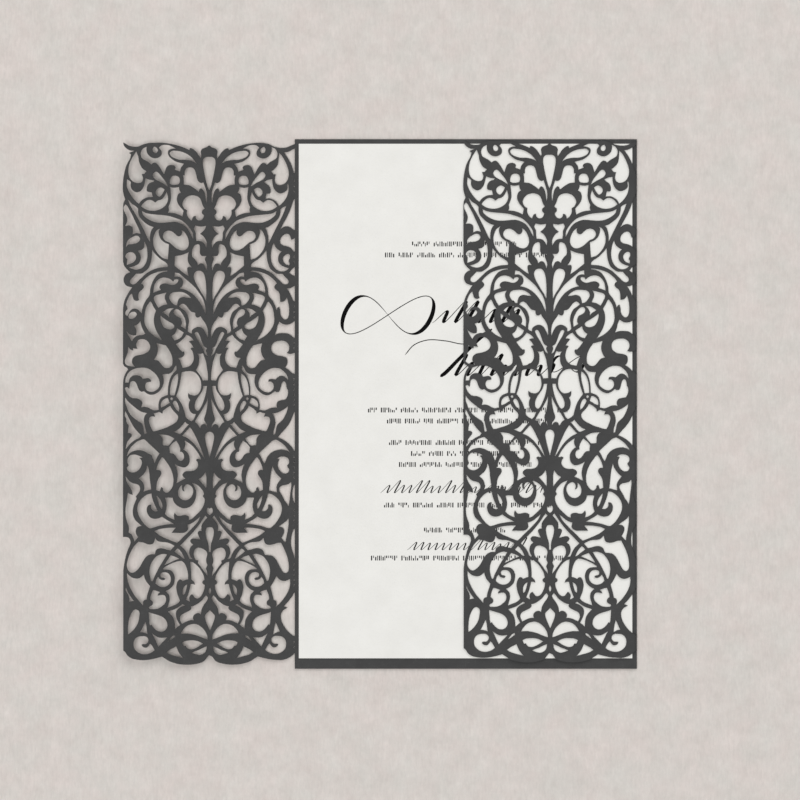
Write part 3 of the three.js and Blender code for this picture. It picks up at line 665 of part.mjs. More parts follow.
// Wrap: back panel, open flap and closed flap joined into one sheet
function wrapSolid() {
  const halfWidth = backWidth / 2;
  const halfHeight = backHeight / 2;
  const panel = new THREE.BoxGeometry(backWidth, backHeight, sheet);
  panel.translate(0, 0, sheet / 2);
  let wrap = toSolid(panel);

  const flap = laceFlap();
  const slope = Math.tan(THREE.MathUtils.degToRad(openFlapRise));
  const foreshortening = Math.cos(THREE.MathUtils.degToRad(openFlapRise));
  const open = moved(flap, (vertex) => {
    const out = vertex.x * foreshortening;
    vertex.set(out - halfWidth, vertex.y + openFlapLow - halfHeight, vertex.z - out * slope);
  });
  wrap = wrap.add(open);

  const closedFold = halfWidth - closedFlapInset;
  const closed = moved(flap, (vertex) => {
    vertex.add(new THREE.Vector3(closedFold, closedFlapLow - halfHeight, closedFlapHeight));
  });
  wrap = wrap.add(closed);
  for (const [from, to] of foldTabs()) {
    wrap = wrap.add(bendTab(from + closedFlapLow - halfHeight, to + closedFlapLow - halfHeight));
  }
  return wrap;
}

const wrapPaper = new THREE.MeshStandardMaterial({ color: 0x46464a, roughness: 0.9, metalness: 0 });
const cardPaper = new THREE.MeshStandardMaterial({ color: 0xeae9e5, roughness: 0.85, metalness: 0 });

const object = new THREE.Group();

const wrap = new THREE.Mesh(toGeometry(wrapSolid()), wrapPaper);
wrap.name = 'wrap';
object.add(wrap);

const card = new THREE.Mesh(new THREE.BoxGeometry(cardWidth, cardHeight, cardThickness), cardPaper);
card.name = 'invitation_card';
card.position.set(cardOffset.x, cardOffset.y, sheet + cardThickness / 2);
object.add(card);

export default object;
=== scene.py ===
import math
import random

import bpy
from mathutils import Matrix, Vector
from mathutils.geometry import delaunay_2d_cdt


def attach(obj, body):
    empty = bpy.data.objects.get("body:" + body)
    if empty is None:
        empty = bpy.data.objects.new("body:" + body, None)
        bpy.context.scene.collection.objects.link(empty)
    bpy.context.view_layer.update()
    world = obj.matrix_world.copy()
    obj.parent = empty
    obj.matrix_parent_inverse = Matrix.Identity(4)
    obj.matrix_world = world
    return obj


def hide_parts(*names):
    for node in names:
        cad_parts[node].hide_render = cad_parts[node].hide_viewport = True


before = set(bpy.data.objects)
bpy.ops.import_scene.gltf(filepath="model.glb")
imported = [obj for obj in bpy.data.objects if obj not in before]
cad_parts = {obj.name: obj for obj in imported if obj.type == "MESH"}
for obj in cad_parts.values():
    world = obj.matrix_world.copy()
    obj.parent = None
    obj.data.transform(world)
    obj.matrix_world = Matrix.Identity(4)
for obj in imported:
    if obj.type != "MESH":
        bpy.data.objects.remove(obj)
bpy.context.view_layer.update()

MM = 0.001

# Sizes in millimetres and the flap's rise in degrees, the same as the CAD model's
BACK_WIDTH = 127
BACK_HEIGHT = 196.6
SHEET = 0.3
CARD_THICKNESS = 0.4
FLAP_WIDTH = 63.7
LACE_HEIGHT = 193.7
OPEN_FLAP_LOW = 1.6
CLOSED_FLAP_LOW = 2.4
CLOSED_FLAP_INSET = 0.7
OPEN_FLAP_RISE = 2.8
FLAP_CLEARANCE = 0.25
BEND_STEPS = 10

# The lace drawing, in its own millimetres
DRAWN_FOLD = 31.8
DRAWN_FREE = 31.9
DRAWN_HEIGHT = 193.7
DRAWN_SPREAD = 0.6


# Paths by name. A name ends in a colon, and its points follow: distance from the drawing's middle line and
# height. A point with ! is a sharp corner.
def read_paths(text):
    paths = {}
    for word in text.split():
        if word.endswith(":"):
            points = paths.setdefault(word[:-1], [])
        else:
            across, up = word.rstrip("!").split(",")
            points.append((float(across), float(up), word.endswith("!")))
    return paths


# Cuts that stand on both sides of the middle line, mirrored
PAIRED_CUTS = read_paths("""
top_sweep: 23.2,192.1! 24.6,191.3 25.3,190 25.3,189 24.9,187.9 23.9,187.2 22.6,186.5 21.4,185.5! 20.9,186
19.9,186.2 19,185.5 18.1,184.3 17.2,182.7 16.7,181.9! 16.3,183.2 15.8,184.5 15,185.2 14,185.4 12.9,185.1
12.4,184.4 12.7,183.6! 11.8,183.3 10.8,182.9! 10.5,184.2 10,185 9.3,185.8! 10.5,186.1 12.3,186.6 13.6,187.4
14.8,188.5 15.3,189.8 15,190.8 14,191.3 12.4,191.5! 13.6,192.1 15,192.7 17,192.8 18,192.4 18.6,191.8!
18,191.1 17.6,190.2 17.7,189 18.6,188.2 20,187.8 21.5,188.2 22.7,189.3 23.2,190.6
top_ring: 20.3,192.1 20.9,191.2 20.5,190 19.6,189.8 19,190.5 19.2,191.4
sling: 4.6,185.9! 6,186.7 7.4,187.1 9,187.3 10.8,187.3 12.6,187.8 14,188.6 14.6,189.8 13.7,190.6 12,190.6
10.3,190.3 8.3,189.5 6.6,188.3 5.3,186.8
shoulder: 7,184.5 8.3,184.2 9,183.2 9.1,181.5! 9.7,181.5! 9.4,180.2 9.4,178.1! 7.3,177.8 5.4,176.7 3.9,175.5!
3.5,176.4 3,176.7 2.3,176.2 1.6,174.8 1.05,171.1! .8,172.7 .9,175 1.5,177.1 2.1,178.9! 3,178.7 3.9,179.2
4.5,180.4 4.9,182.2 5.4,183.6 6.1,184.3
ring_two: 12.4,181.4 11.2,180.8 10.85,179.4 11.3,178.3 12.6,178 14,178.1 14.6,178.5! 14.5,179.8 13.8,181.1
leaf_drop: 15.3,177.3! 17.2,178.6 18.8,179.4 20.2,180.3 20.85,181.5 20.4,182.5 19.6,182.85 18.8,182.4
17.6,181 16.2,179.2
bean: 15.8,175.4! 15.3,173.6 15.3,172.2 16,170.6 17.6,169.2 19.9,168.4 22.3,168.5 24.1,169.2 25.2,170!
24.7,170.8 23.7,171.8 22.4,172.4 21.1,172.2 20,171.4! 19,172.2! 17.6,172.6 16.7,173.5 16.1,174.6
small_oval: 17.85,177 16.5,176.3! 17.2,174.8 18.4,173.6 19.6,174.55 19.7,175.7 19,176.6
strip: 14.5,177.2! 13,176.9 11.2,177.2! 11,176 10.5,175.1! 11.4,174.6 11.9,173.4 11.9,172 11.2,170.4
10.2,169.2 9.5,168.4! 9.9,166.2! 11.2,166.9 13,167.5 15.2,167.7! 14.9,168.7 15.1,169.8! 14.5,171.2 14.1,173
14.2,175
dome: 6.5,174.1 8.3,173.5 9.5,172.2 9.9,170.7 9.2,169.2! 8.2,168.6! 8.2,167 7.4,165.5 6.4,164.7! 6.2,165.6
5.7,166.3 5,166.5! 4.8,165.5 3.9,164.8 2.8,165 2.1,165.9 1.9,166.7! 2.65,167.5 2.6,168.4 1.7,169.2! 2.4,170.4
3,172.2 3.6,173.2 4.8,173.9
long_leaf: 24.9,168.3! 23.4,167.5 21.3,167.1 19,166.9 15.3,166.5 12.5,165.7 10.2,164.8 8.6,163.5 7.2,161.9
6.1,160 5.9,157.9! 6.7,159.4 7.7,161.3 8.9,162.7 10.4,163.6 12.3,164.2 14.1,164.2 17.6,163.9 19.9,164.1
21.8,164.8 23.4,165.8 24.5,166.9
side_crescent: 18.2,161.8! 19.5,161 20.3,159.6 20.75,157.8 20.65,155.8 20,154 18.7,152.2 17.2,150.9
15.3,150.3! 15.1,153 14.9,155.9! 16.7,156.7 18,158 18.6,159.6 18.7,160.8
comma: 15,161 13.8,160.7 12.7,159.9 11.9,159.1 11.1,158.9 10.3,159.4 10,160.3 10.2,161.2! 9.2,160.5 8.2,159
7.6,157.2 7.6,155.6 8.3,154.3 9.4,153.7 10.8,153.8 12.4,154.6 14,156 14.8,156.7! 16.2,157.3 17.1,158.5
17,159.7 16.3,160.6
star_side: 5.1,162.9! 5.6,161.7 5,160.3 4.9,158.2 4.7,157.2! 3.7,157.2 2.6,156.9 1.6,155.9 1,154.7! .9,156.6
1.4,157.9 2.3,159.1 3.4,159.8! 2.1,160.9 1.4,161.9 1.15,162.8! 3.2,162.5
inner_lobes: 4.2,156! 5.4,155.5 6.1,154.3 6.4,152.7 6.2,151.4 5.1,150.2 4.3,148.9 4.2,148.1! 3.7,148.6
3,148.9 2.1,148.6 1.5,147.6 1.1,146.1! .8,147.9 1.25,149.4 1.6,150.5 1,151.6! 2.8,151.7 3.4,152.6 3.4,154.7
3.7,155.8
hex_gap: 7.6,153! 9.7,152.1 12.7,151.5! 12.8,148! 10.7,146.3 9,145 7.6,144.1! 8.1,146.3 8,147.3 7.6,147.5
6.5,147.4! 7.6,148.9 7.95,150.2 7.9,151.5
teardrop: 4.2,146.1 5.2,145.6 5.7,144.4 5.5,143 4.9,141.6 3.9,139.8 2.9,138.1 1.9,136.6 1.15,134.8! 1.05,138
1.2,141.7 1.6,144 2.3,145.5 3.2,146.1
sail: 21.1,153.8! 20.2,152.6 18.1,150.5 16,149.1 15.3,148.1 15.4,147.5! 17.6,147.4 19.5,147 21.3,146.3
23.2,145.2 24.6,143.9 26.2,142.4 27.4,141.3 28.5,141.1 29.3,141.8 29.1,142.8 28.1,143.8 27.1,145! 25,145.1
23.7,145.9 22.5,147 21.7,148.9 21.3,151
sweep_down: 12.7,145.5! 12.85,143.9! 11.6,144 10.2,143.3 9.6,141.9 9.95,140.5 10.9,139.6! 8.8,139.1 7.2,138.3
5.5,137 3.9,135.1 2.5,132.8 1.3,130! 1.35,132 1.8,134.3 2.5,136.1 3.85,138.1 5.2,139.9 7.45,142 9.6,143.8
11.1,145.1
hook_gap: 20.7,138! 20.5,139.5 20.2,141 19.2,142.5 17.9,143.4 16.2,143.6 14.6,143.1 13.3,142.1! 12.9,142.8!
12.1,143 11.4,142.7 11.7,141.8 12.8,141 14,140.9 15.5,141.3 16.9,141.4 18.1,140.8 18.4,139.9 17.9,139!
19.4,138.5
ring_crescent: 21.9,134.7! 23.2,132.7 23.9,129.7 23.9,126.9 23.2,125.1 21.8,123.2 19.9,121.6 17.4,120.3!
18.1,121.4 19.5,123.7 20.3,126 20.5,128.1 20.2,130 19.7,131.3! 20.6,132.7 21.5,134.5
ring_top_outer: 20.5,136 20,136.8 17.6,137.6 15.8,138! 16.4,136.9 16.4,135.8 15.5,133.7! 17.2,133.3
18.8,132.4! 19.7,133.9
ring_top: 13.4,138.1! 10.7,138.3 9.3,138 7.6,137 6.7,136! 8.1,136.1 9.7,136.4 11.1,135.8 11.7,134.6
11.9,133.3! 13,133.6 14.1,134.7 14.8,136.2 14.4,137.5
ring_side: 11.2,132.9! 10.6,133.6 9.7,133.9 8.6,133.3 7.6,132 6.7,131 5.7,130.7! 5.2,130.5 5.1,129.5
4.6,128.8 3.9,128.8 3.2,129.3! 2.5,128.1 1.6,126.9 .8,125.3 .45,123.2 .5,121.2! 1.1,122.7 1.9,124.2 2.8,125
4.1,125.3 5.5,124.8 6.4,123.9 6.4,122.8! 7.2,123.1 7.9,123.7! 7.8,125.1 7.45,127.4 7.9,129.5 8.8,131.1 10,132
ring_inner_top: 13.1,132.2! 14.4,132.2 15.5,131.9 17.3,130.7! 16.4,130.2 15.5,129.6 14.8,128.7! 14.8,130.2
13.9,131.6
ring_inner_side: 12,131.9 10.9,131.4 9.8,130 8.9,128.1 8.6,126.4 8.8,124.5! 9.7,125.1 10.5,125.6! 10.1,126.5
10.2,127.6 10.7,128.6 11.5,129 12.6,129.7 13.1,130.6 12.9,131.5
ring_inner_low: 18,129.5! 17,128.6 15.2,127.4 13.6,126.5 12.9,125.6 13.4,124.7 14.8,124.4 16.6,125.1
17.7,126.9 18.1,128.6
ring_low: 11.9,124.8! 9.4,123.2! 10.2,121.7 11.5,120.7 12.9,120.3! 13.9,121.9! 12.8,122.7 12.2,123.7
leaf_slit: 5.4,122.9! 4.9,123.4 4.3,123.3 3.8,122.7 3.2,121.3 2.6,119.5 1.8,118 .8,117.4! 1.2,116.5 .9,115.6
.45,114.5! 1.4,115.2 2.3,117.2 3.5,119.3 4.6,121.1
mid_gap: 8.4,122.4! 7.2,121.8 6.1,120.8 5.8,120.2! 6.7,120.2 7.5,119.9! 6.5,118.8 5.8,117.6! 6.4,117.6
6.9,117.3! 6.2,116.3 5.8,114.9 5.7,113.4 6.2,111.9 7.6,110.6 9.8,110.1! 10.3,111.5 10.8,112.9 11.5,113.8!
10.3,113.9 9.4,114.6 9.1,115.6 9.3,116.1 10,116.1! 10.9,117 12.3,118.9! 10.7,119.9 9.3,121.2
trapezoid: 19.5,119.3! 16,118.4! 14.6,116.3 13.8,114.4 13.6,112.3 13.9,110.9 15.3,110 16.7,110.3 17.9,111.7
19,112.8 20.5,113.1! 19.7,114.2 19.1,115.8 19,117.4
stem_side: 4.4,115.4! 3.2,115.3 2.3,115.6! 1.7,113.9 1.15,112.3 .8,110 .5,108 .45,105.5! 2.3,105.4! 2.7,106.4
3.5,107.6 4.3,108.6 4.9,109.3! 4.4,110.1 3.9,111.1 3.7,112.8 3.8,114.4
cross_leaf: 14.5,100! 14.45,101.6 14.3,103.2 13.9,105 13.1,106.7 12.1,107.7 11.55,108! 11.5,106 11.8,104
12.3,102 12.8,99.9!
big_tear: 10.2,108.5! 10.4,106.9 10.9,104 11.5,101.6 12.2,99.6! 11.2,98.3 10.1,96.5 9.4,94.7 8.9,93 8.6,91.7!
7.5,90.8 6.5,90.3! 5.7,91.1 4.9,92.9! 6,93.1 6.9,93.8 7.4,94.9 7.6,96.2 7.4,97.4 7,98.2! 7.6,98.9 7.85,99.9
7.8,100.8! 7.1,100.2 6.1,99.9 5,99.9 4,100.5 3.3,101.6 2.95,103 3,104.6 3.4,106.1 4.2,107.4 5.3,108.4
6.9,108.9 8.6,108.8
knot_drop: 17.8,95.4! 17.9,96.3 17.6,97.5 16.9,98.3 16,98.8 15.3,98.9! 15,98 14.6,97.1! 15.5,96.6 16.6,95.9
knot_slot: 13.5,97! 13,97.8 12.4,97.8 11.8,97.1 11.3,95.9 11.1,94.7 11.2,93.8! 12.1,94.6 12.9,95.8
knot_eye: 14.4,98.6 13.9,99.2 13.4,98.7 13.8,98.1
heart: 14.4,96! 13.9,95 13.1,94 12.2,93.1 11.6,92.3 11.55,91.3 12,90.3 13.2,89.3 14.6,88.6 16.2,87.8
18.1,87.2 20.2,86.6 20.8,86.6! 21.3,87.4 21.8,88.6 22.2,89.8 22.3,90.9 21.9,91.8 21,92.1 20,92! 20.5,93.2!
19.5,93.4 18.5,93.7 17.3,93.1! 17.15,94.1! 15.8,95.2
stem_leaf: 2.1,103.4! 2.3,102.2 2.8,101.1 3.7,99.8 4.6,98.5 5.2,97 5.35,95.6 5,94.6 4.2,94.1! 3.6,94.6
2.9,95.8 2.3,97.1 1.7,98.8 1.2,100.7 .8,103.4!
spear_side: .5,98.9! 1.1,97.3 1.9,95.8 2.8,94.2 3.8,92.6 4.8,91 5.3,90! 4.5,89.5 3.9,88.7 3.3,87.7! 3,88.7
2.4,89.2 1.7,89.2 1,88.6 .6,87.9! .7,88.9 1.2,89.7 1.8,90.6 1.8,91.5 1.3,92.9 .9,94.8 .6,96.8
cross_kite: 8.9,90.1! 8.3,89.4 7.5,89.2! 8.4,88.2 9.4,87 10.3,85.9 10.9,85.5! 11.9,85.9 13.3,86.4! 12,86.9
10.8,87.8 9.8,89
fan_leaf: 7.1,88.1! 6.3,87 5.6,85.8 5,84.6 4.4,83.3 3.8,82 3.2,80.6 2.6,79 2,77.4 1.6,76.3! 2.4,77.4 3.4,79
4.4,80.5 5.6,82 6.9,83.2 8.3,84.2 10,84.9! 9.2,85.8 8.1,87
fan_wedge: 18.7,85.4! 16.8,85.3 15,85 13.6,84.3 12.9,83.9! 13.6,83 14.3,82.1 15.1,81.3 16,81.3 17.1,81.4!
17.2,82.6 17.2,83.6 17.6,84.5 18.2,85.2
hook_scroll: 12.2,83.1! 11.6,82.2 11,81 10.7,79.9 10.8,79! 10.1,78.9 9.5,78.2 9.3,77.1 9.6,76.1 10.3,75.6
11.1,75.8 11.9,76.6 12.5,77.6 13.3,78.3 14.6,78.5! 14.6,79.6 14.8,80.6! 14,81.7 13.1,82.5
hook_outer: 9.1,83.2! 8,82.5 6.7,81.6 5.6,80.5 4.6,79.2 3.8,78 2.9,76.2! 3.7,76.2 4.3,76.4 4.9,75.9! 4.3,75.1
4.1,74 4.5,72.9 5.5,72.1 6.9,71.8 8.4,71.8 9.5,71.2 9.9,70.4 9.5,69.6 8.8,69! 10,68.5 11.1,67.9 12.1,67.3!
11.8,68.7 11.6,70.2 11.8,71.8 12.2,73.2 12.8,74.5! 11.6,73.8 10.3,73.3 9,73.2 8,73.8 7.4,74.8 7.2,76.1
7.4,77.5 8,78.6 8.8,79.4 9.5,79.8! 9,80.8 8.8,81.9
half_heart: 17.4,77! 16.7,76.4 15.9,75.3 15.1,74.2 14.4,73 13.8,71.6 13.4,70.2 13.2,68.7 13.3,66.9! 13.7,65.7
14.4,64.7 15.3,63.9 16.1,63.8! 17,64.6! 17.1,65.5! 17.7,65.9! 18.1,65! 18.3,64.3! 19.6,64.8! 19.5,66.3
19.3,67.8 18.8,69 18,70.1 17.7,71 18,71.9 18.7,72.2 19.6,72.2! 19.3,73.4 18.8,74.8 18.2,76
ring_gap: 21.4,63.5! 21.2,62.2 20.7,60.6 20,58.9 19.1,57! 20.1,56.9 21,57.4 21.5,58.3 21.4,59.4! 22.3,59.3
23,58.4 23.1,57 22.6,55.6 21.6,54.5 20.2,54.1 18.7,54.3 17.5,54.9! 16.2,54 14.8,53.2 13,52.2! 15,52.1 17,51.8
19,51.4 20.8,50.8 22,50.6 23,51.2 24.2,52.4 25.3,54 26.2,55.8 26.6,57.7 26.3,59.5 25.4,61.1 24.1,62.4
22.8,63.2
ring_leaf: 19.4,62.8! 18.7,62 18,61 17.5,59.9 17.3,58.8 17.5,57.7! 18,58.2 18.5,59.3 18.9,60.4 19.2,61.6
bowl_gap: 16.3,61.9! 14.8,62 13.5,61.9! 13.2,60.6 12.3,59.4 11,58.5 9.5,58 8,58.2 6.8,58.8 5.8,59.9 5.1,61.4
4.8,63 4.9,64.6 5.5,66.1 6.4,67.5! 5.2,67.1 4,66.4 3,65.4 2.2,64.3 1.9,63.3! 2.4,62.5! 1.7,61.5 1.7,60.3
2.2,58.8 3,57.4 4.1,56.2 5.3,55.1 6.4,54.1 7.5,53.7! 7.5,54.9 8.3,55.4 9.5,55.5 10.7,55.2 11.8,55.3
12.8,56.4! 13.1,55.3 12.8,53.8! 14.2,54.3 15.5,55.1 16.4,56! 15.9,57.4 15.7,58.9 15.9,60.5
small_spiral: 10,66.7! 10.8,66 11.3,65 11.5,63.8 11.2,62.4 10.4,61.5 9.2,61 7.9,61.2 6.8,62 6.1,63.2 5.9,64.5
6.3,65.8 7.2,66.6 8.2,66.9 9,66.4 9.4,65.4 9.1,64.2! 9.9,64.7 10.1,65.7
stem_wedge: 1.4,71.4! 2,70.4 2.9,69.4 4,68.8! 3.2,68 2.4,67.1 1.7,66.2 1,65.3! 1,67.2 1,69.2 1.2,70.6
arrow_gap: 20.3,49.5! 18.7,50.2 16.6,50.6 14.5,50.8 12.4,50.8! 13.1,50 13.9,48.9! 12.4,48.9 10.9,48.9
9.5,48.9 8.4,49.4 7.8,50.3 8.1,51.9! 7,52.2 5.7,52.9 4.5,53.9 3.2,55! 4.2,53 5.3,51.7 6.6,50.3 8.1,48.8
9.6,47.4 10.9,46 11.9,45.2! 13.3,45.7 15,46.4 16.9,47.2 18.7,48.2
plume_leaf: 15.6,40.9! 17,41.1 18.3,40.8 19.5,40.2 20.6,39 21.5,37.5 22,35.9 22.1,34.1 21.8,32.4 21.4,31.1!
21,31 20.3,32.6 19.5,34.2 18.6,36 17.5,37.8 16.5,39.4
plume_wedge: 14.2,40.6! 13.3,40.3 12.2,39.9 11.1,39.3! 12.3,38.9 13.6,38.3 14.9,37.7 16.6,36.9! 15.8,38.2
15,39.4
plume_triangle: 11.6,43.1! 12.3,42.6 12.8,41.9! 11.9,41.2 10.9,40.5 10,39.7 9.1,39.3! 9.6,40.5 10.2,41.6
10.9,42.5
arch_gap: 17.1,35.7! 15.8,36.6 14.3,37.4 12.8,38 11.4,38.4 10.2,38.5! 9.3,37.8 8.6,36.6 8.1,35.1 7.8,33.5
7.8,31.7! 8.6,31.5 9.8,31! 10.3,31.5 11,31.6 11.6,31 12,30 12.2,28.7 12,27.2 11.7,25.9 11.3,25 10.8,23.7!
11.5,22.9 12.6,22.2 13.9,21.7 15.4,21.1! 15.1,22.2 14.7,23.5 14.6,24.8 14.9,26 15.5,26.7 16.2,27.3! 15,27.8
14,28.6 13.2,29.6 12.8,31 12.7,32.3 13,33.5 13.6,34.5 14.5,35.1 15.6,35.3 17.1,35.3!
plume_spiral: 18.9,32.6! 18.3,31.8 17.4,31.4 16.6,31.4! 16.2,31.9! 16.9,32.3 17.6,32.4 18,33 17.9,33.8
17.3,34.2 16.3,34.3 15.3,34 14.5,33.1 14.2,31.9 14.4,30.5 15.2,29.5 16.4,28.9 17.8,28.9 19,29.4 19.9,30.2!
19.6,31.5
garden_gap: 7,38.2! 5.9,37.9 4.7,37 3.6,35.8 2.7,34.4 2,33 1.7,31.5! 2.5,30.8 2.4,30.1 1.6,29.5! 1.8,28
2.3,26.6 3.1,25.3 4.1,24.6 5.1,24.7 5.8,25.5 6.3,26.2! 7,25.7 7.4,24.7 7.1,23.3! 8.6,24.1! 8.1,25.3 7.5,26.9
7.1,28.4 6.8,29.9! 5.9,29.9 5.2,29.6! 5.5,30.6 6.1,31.2 6.6,31.7! 6.6,33.2 6.7,35 6.9,36.7
garden_wedge: 8.1,29.8! 9,29.2 9.7,28 9.8,26.7 9.7,25.8! 9.1,26.2 8.6,27.5 8.3,28.7
vase_side: 1.4,55.3! .7,54.5! 1.3,53.9 2.1,52.9 2.8,51.7 2.9,50.6 2.8,49.6! 3.7,49.6 4.2,49 4,48 3.6,47.1
3.1,46.2! 4.2,46.5 5.4,46.8 6.4,46.7 7,46 6.7,45.2 5.9,44.5! 6.8,43.8 7.3,42.7 7.4,41.5 7,40.2 6.3,39.2!
7.2,39.3 8,41 8.9,42.5 10.7,44.2! 9.4,45.5 8,47 6.6,48.4 5.3,49.9 4.1,51.4 3,52.9 2.1,54.3
vase_lobe: 4.1,43.4 5.1,42.9 5.6,41.9 5.7,40.8 5.4,39.7 4.9,38.9! 4,38.6! 4.2,37.7! 3.1,36.4 2.1,34.9
1.3,33.9 .55,32.8! .7,34.2 1.2,35.7! .6,37! 1,37.9 1.1,39 .8,40.2 .7,41.2 1.2,42.2 2.4,43
bud_gap: 20.8,27.7! 19.8,27.5 18.2,26.9! 18.8,26.4 19.1,25.6! 17.8,25.9! 17,25.9 16.4,25.6 16,24.7 16,23.6
16.5,22.6 17.4,21.8 18.4,21.1 19.5,20.7 20.9,20.6 22,20.7 22.4,21.2! 21.9,21.7 21.2,22 20.8,22.8 21.1,23.7
21.8,24.2! 21.7,25.2 21.4,26.3
base_oval: 22.4,19.5! 20.9,19 19.2,18.5 17.6,17.9 16.3,16.9 15.6,15.6 15.5,14.2 16.1,13 17.2,12.3 18.5,12.3
19.7,12.9 20.7,13.9 21.4,14.9! 21.9,14.6! 22.1,15.6 22.2,17 22.3,18.3
base_spiral: 25,10.6 26.3,10.4 27.3,9.7 27.9,8.6 28,7.3 27.6,5.9 26.6,4.8 25.3,4.1 23.8,3.9 22.2,4.2 20.8,4.9
20.2,5.4! 20.7,6.3 21.3,7.3 21.9,7.8! 22.4,7 23.1,6.4 24,6.4 24.8,6.9 25,7.5 24.4,7.7 23.5,7.7 22.7,8.4
22.5,9.3 22.9,10.1 23.8,10.6
base_wedge: 21.2,11.6! 20.5,10.4 19.9,9.1 19.3,7.8 18.8,6.7! 18,7.6 17.2,8.4 16.4,9.2 15.5,10.2! 16.7,10
18,10 19.2,10.3 20.2,10.9
base_slit: 15.3,8.5! 14.4,9.1 13.6,9.7 12.8,10.3 12.9,10.9! 13.8,10.5 14.6,9.6 15.2,8.8
base_triangle: 12.2,6.8! 13.3,6.2 14.5,5.6 15.8,4.6! 14.4,3.8 12.9,3.3 11.4,2.9 9.5,2.4! 10.3,3.3 11.1,4.3
11.7,5.5
base_eye: 10,8.3! 8.8,8.8 7.3,9 5.7,9 4.2,8.7 2.3,7.8! 3.4,7.1 4.7,6.3 6,5.8 7.2,5.7 8.1,6.1 8.7,7! 9.4,7
base_low_eye: 6.5,4.4! 5.2,5 3.9,5.4 2.6,6.1 .9,6.8! 1,5.7 1.4,4.7 2.2,4 3.4,3.6 4.8,3.8
base_dome: 10.5,11.5! 9.9,12.6 9.1,13.6 8,14.5 6.6,15 5.2,15.1 3.8,14.6 2.6,13.7 1.5,12.4 .8,11 .5,9.3!
1.5,9.6 2.8,10.1 4.5,10.8 6.3,11.3 8.4,11.6
base_scroll: 1.1,25.7! .5,24.9 .5,24.4 .9,23.6 1.6,22.7 2.3,21.6 2.8,20.5 3,19.2 3.1,18.6! 3.8,19.1 4.8,19
5.7,18.3 6,17.4 5.7,16.5! 6.8,16.5 8,16.2 9.2,15.6 10.1,15.2! 10.5,16 10.8,17 10.6,18 10,18.7 9,19.2 8,19.7
7.1,20.2 6.6,21 6.8,21.6! 5.8,21.8 4.7,22.3 3.7,23 2.7,23.8 1.9,24.9
base_hook: 9,22! 9.8,22.5! 10.7,21.8 11.8,21.1 12.9,20.5 14.2,20.1 15.3,19.7! 14.5,18.9 13.6,17.9 13,16.7
12.7,15.2 12.6,13.2! 11.8,14 10.8,14.7! 11.3,15.6 11.9,16.8 12.3,18.3 12.2,19.7 11.6,20.6 10.5,21.4
""")

# Cuts on the middle line, given as one half
MIDDLE_CUTS = read_paths("""
crown_drop: 0,188.4 1.2,188.3 2.1,187.6 2.35,186.3 2.1,184 1.4,180.6 .6,177.4 0,176!
fan_drop: 0,86.4 .8,86.2 1.4,85.6 1.7,84.6 1.5,83 1.2,81.6 .8,80 .4,78.4 0,76.7!
diamond: 0,57.9 .5,58.2 .9,58 1.1,57 .9,56.3 .4,55.7 0,55.5
vase_drop: 0,51 1,50.8 1.5,49.6 1.4,48 1,46.3 .5,44.8 .35,43.2 .35,41.8! 0,41.8
vase_slot: 0,28.6! .4,27.8 .35,26.8 0,26.1!
kite: 0,20.2! .8,19.4 1.8,18.2 1.7,16.9 1.2,15.4 .6,14 0,12.6!
""")

# Stretches that a cut beside the free edge and one beside the fold share
SWEEP_TOP = """
15.5,146.2! 17.6,146 19.9,145.4 21.8,144.6 23.4,143.4 24.6,142.2 25.1,141.4! 24.4,140.8 24.2,140 24.8,139.1
25.7,138.4 26.2,137.4"""
SWEEP_FOOT = """
22.1,137 21.8,139.5 21,141.9 19.9,143.8 18.8,144.9 17.2,145.6 15.5,145.9!"""
CROSS_START = """
12.2,111! 12.1,110.2 12.2,109.3 13,108.4 13.9,107.3 14.6,105.8 15,104.2 15.25,102.6 15.3,101 15.3,100.1!
16.3,99.7 17.5,99.2 18.3,98.3 18.7,97 18.8,95.8 18.7,94.6! 19.5,94.4"""
CROSS_END = """
18.8,101.1 17.8,102.2 17.1,103.6 16.8,105 16.9,106.4 17.3,107.7! 16,107.8 14.9,107.9 14,108.4 13.3,109.3
12.8,110.4"""
WIDE_TOP = """
19.6,46.4 18.9,45.8 17.5,45.5 15.9,45.4 14.5,45 12.8,44.1! 13.6,43.2 14.3,42.4! 15.3,42.6 16.6,43 17.9,43.2
19,43"""

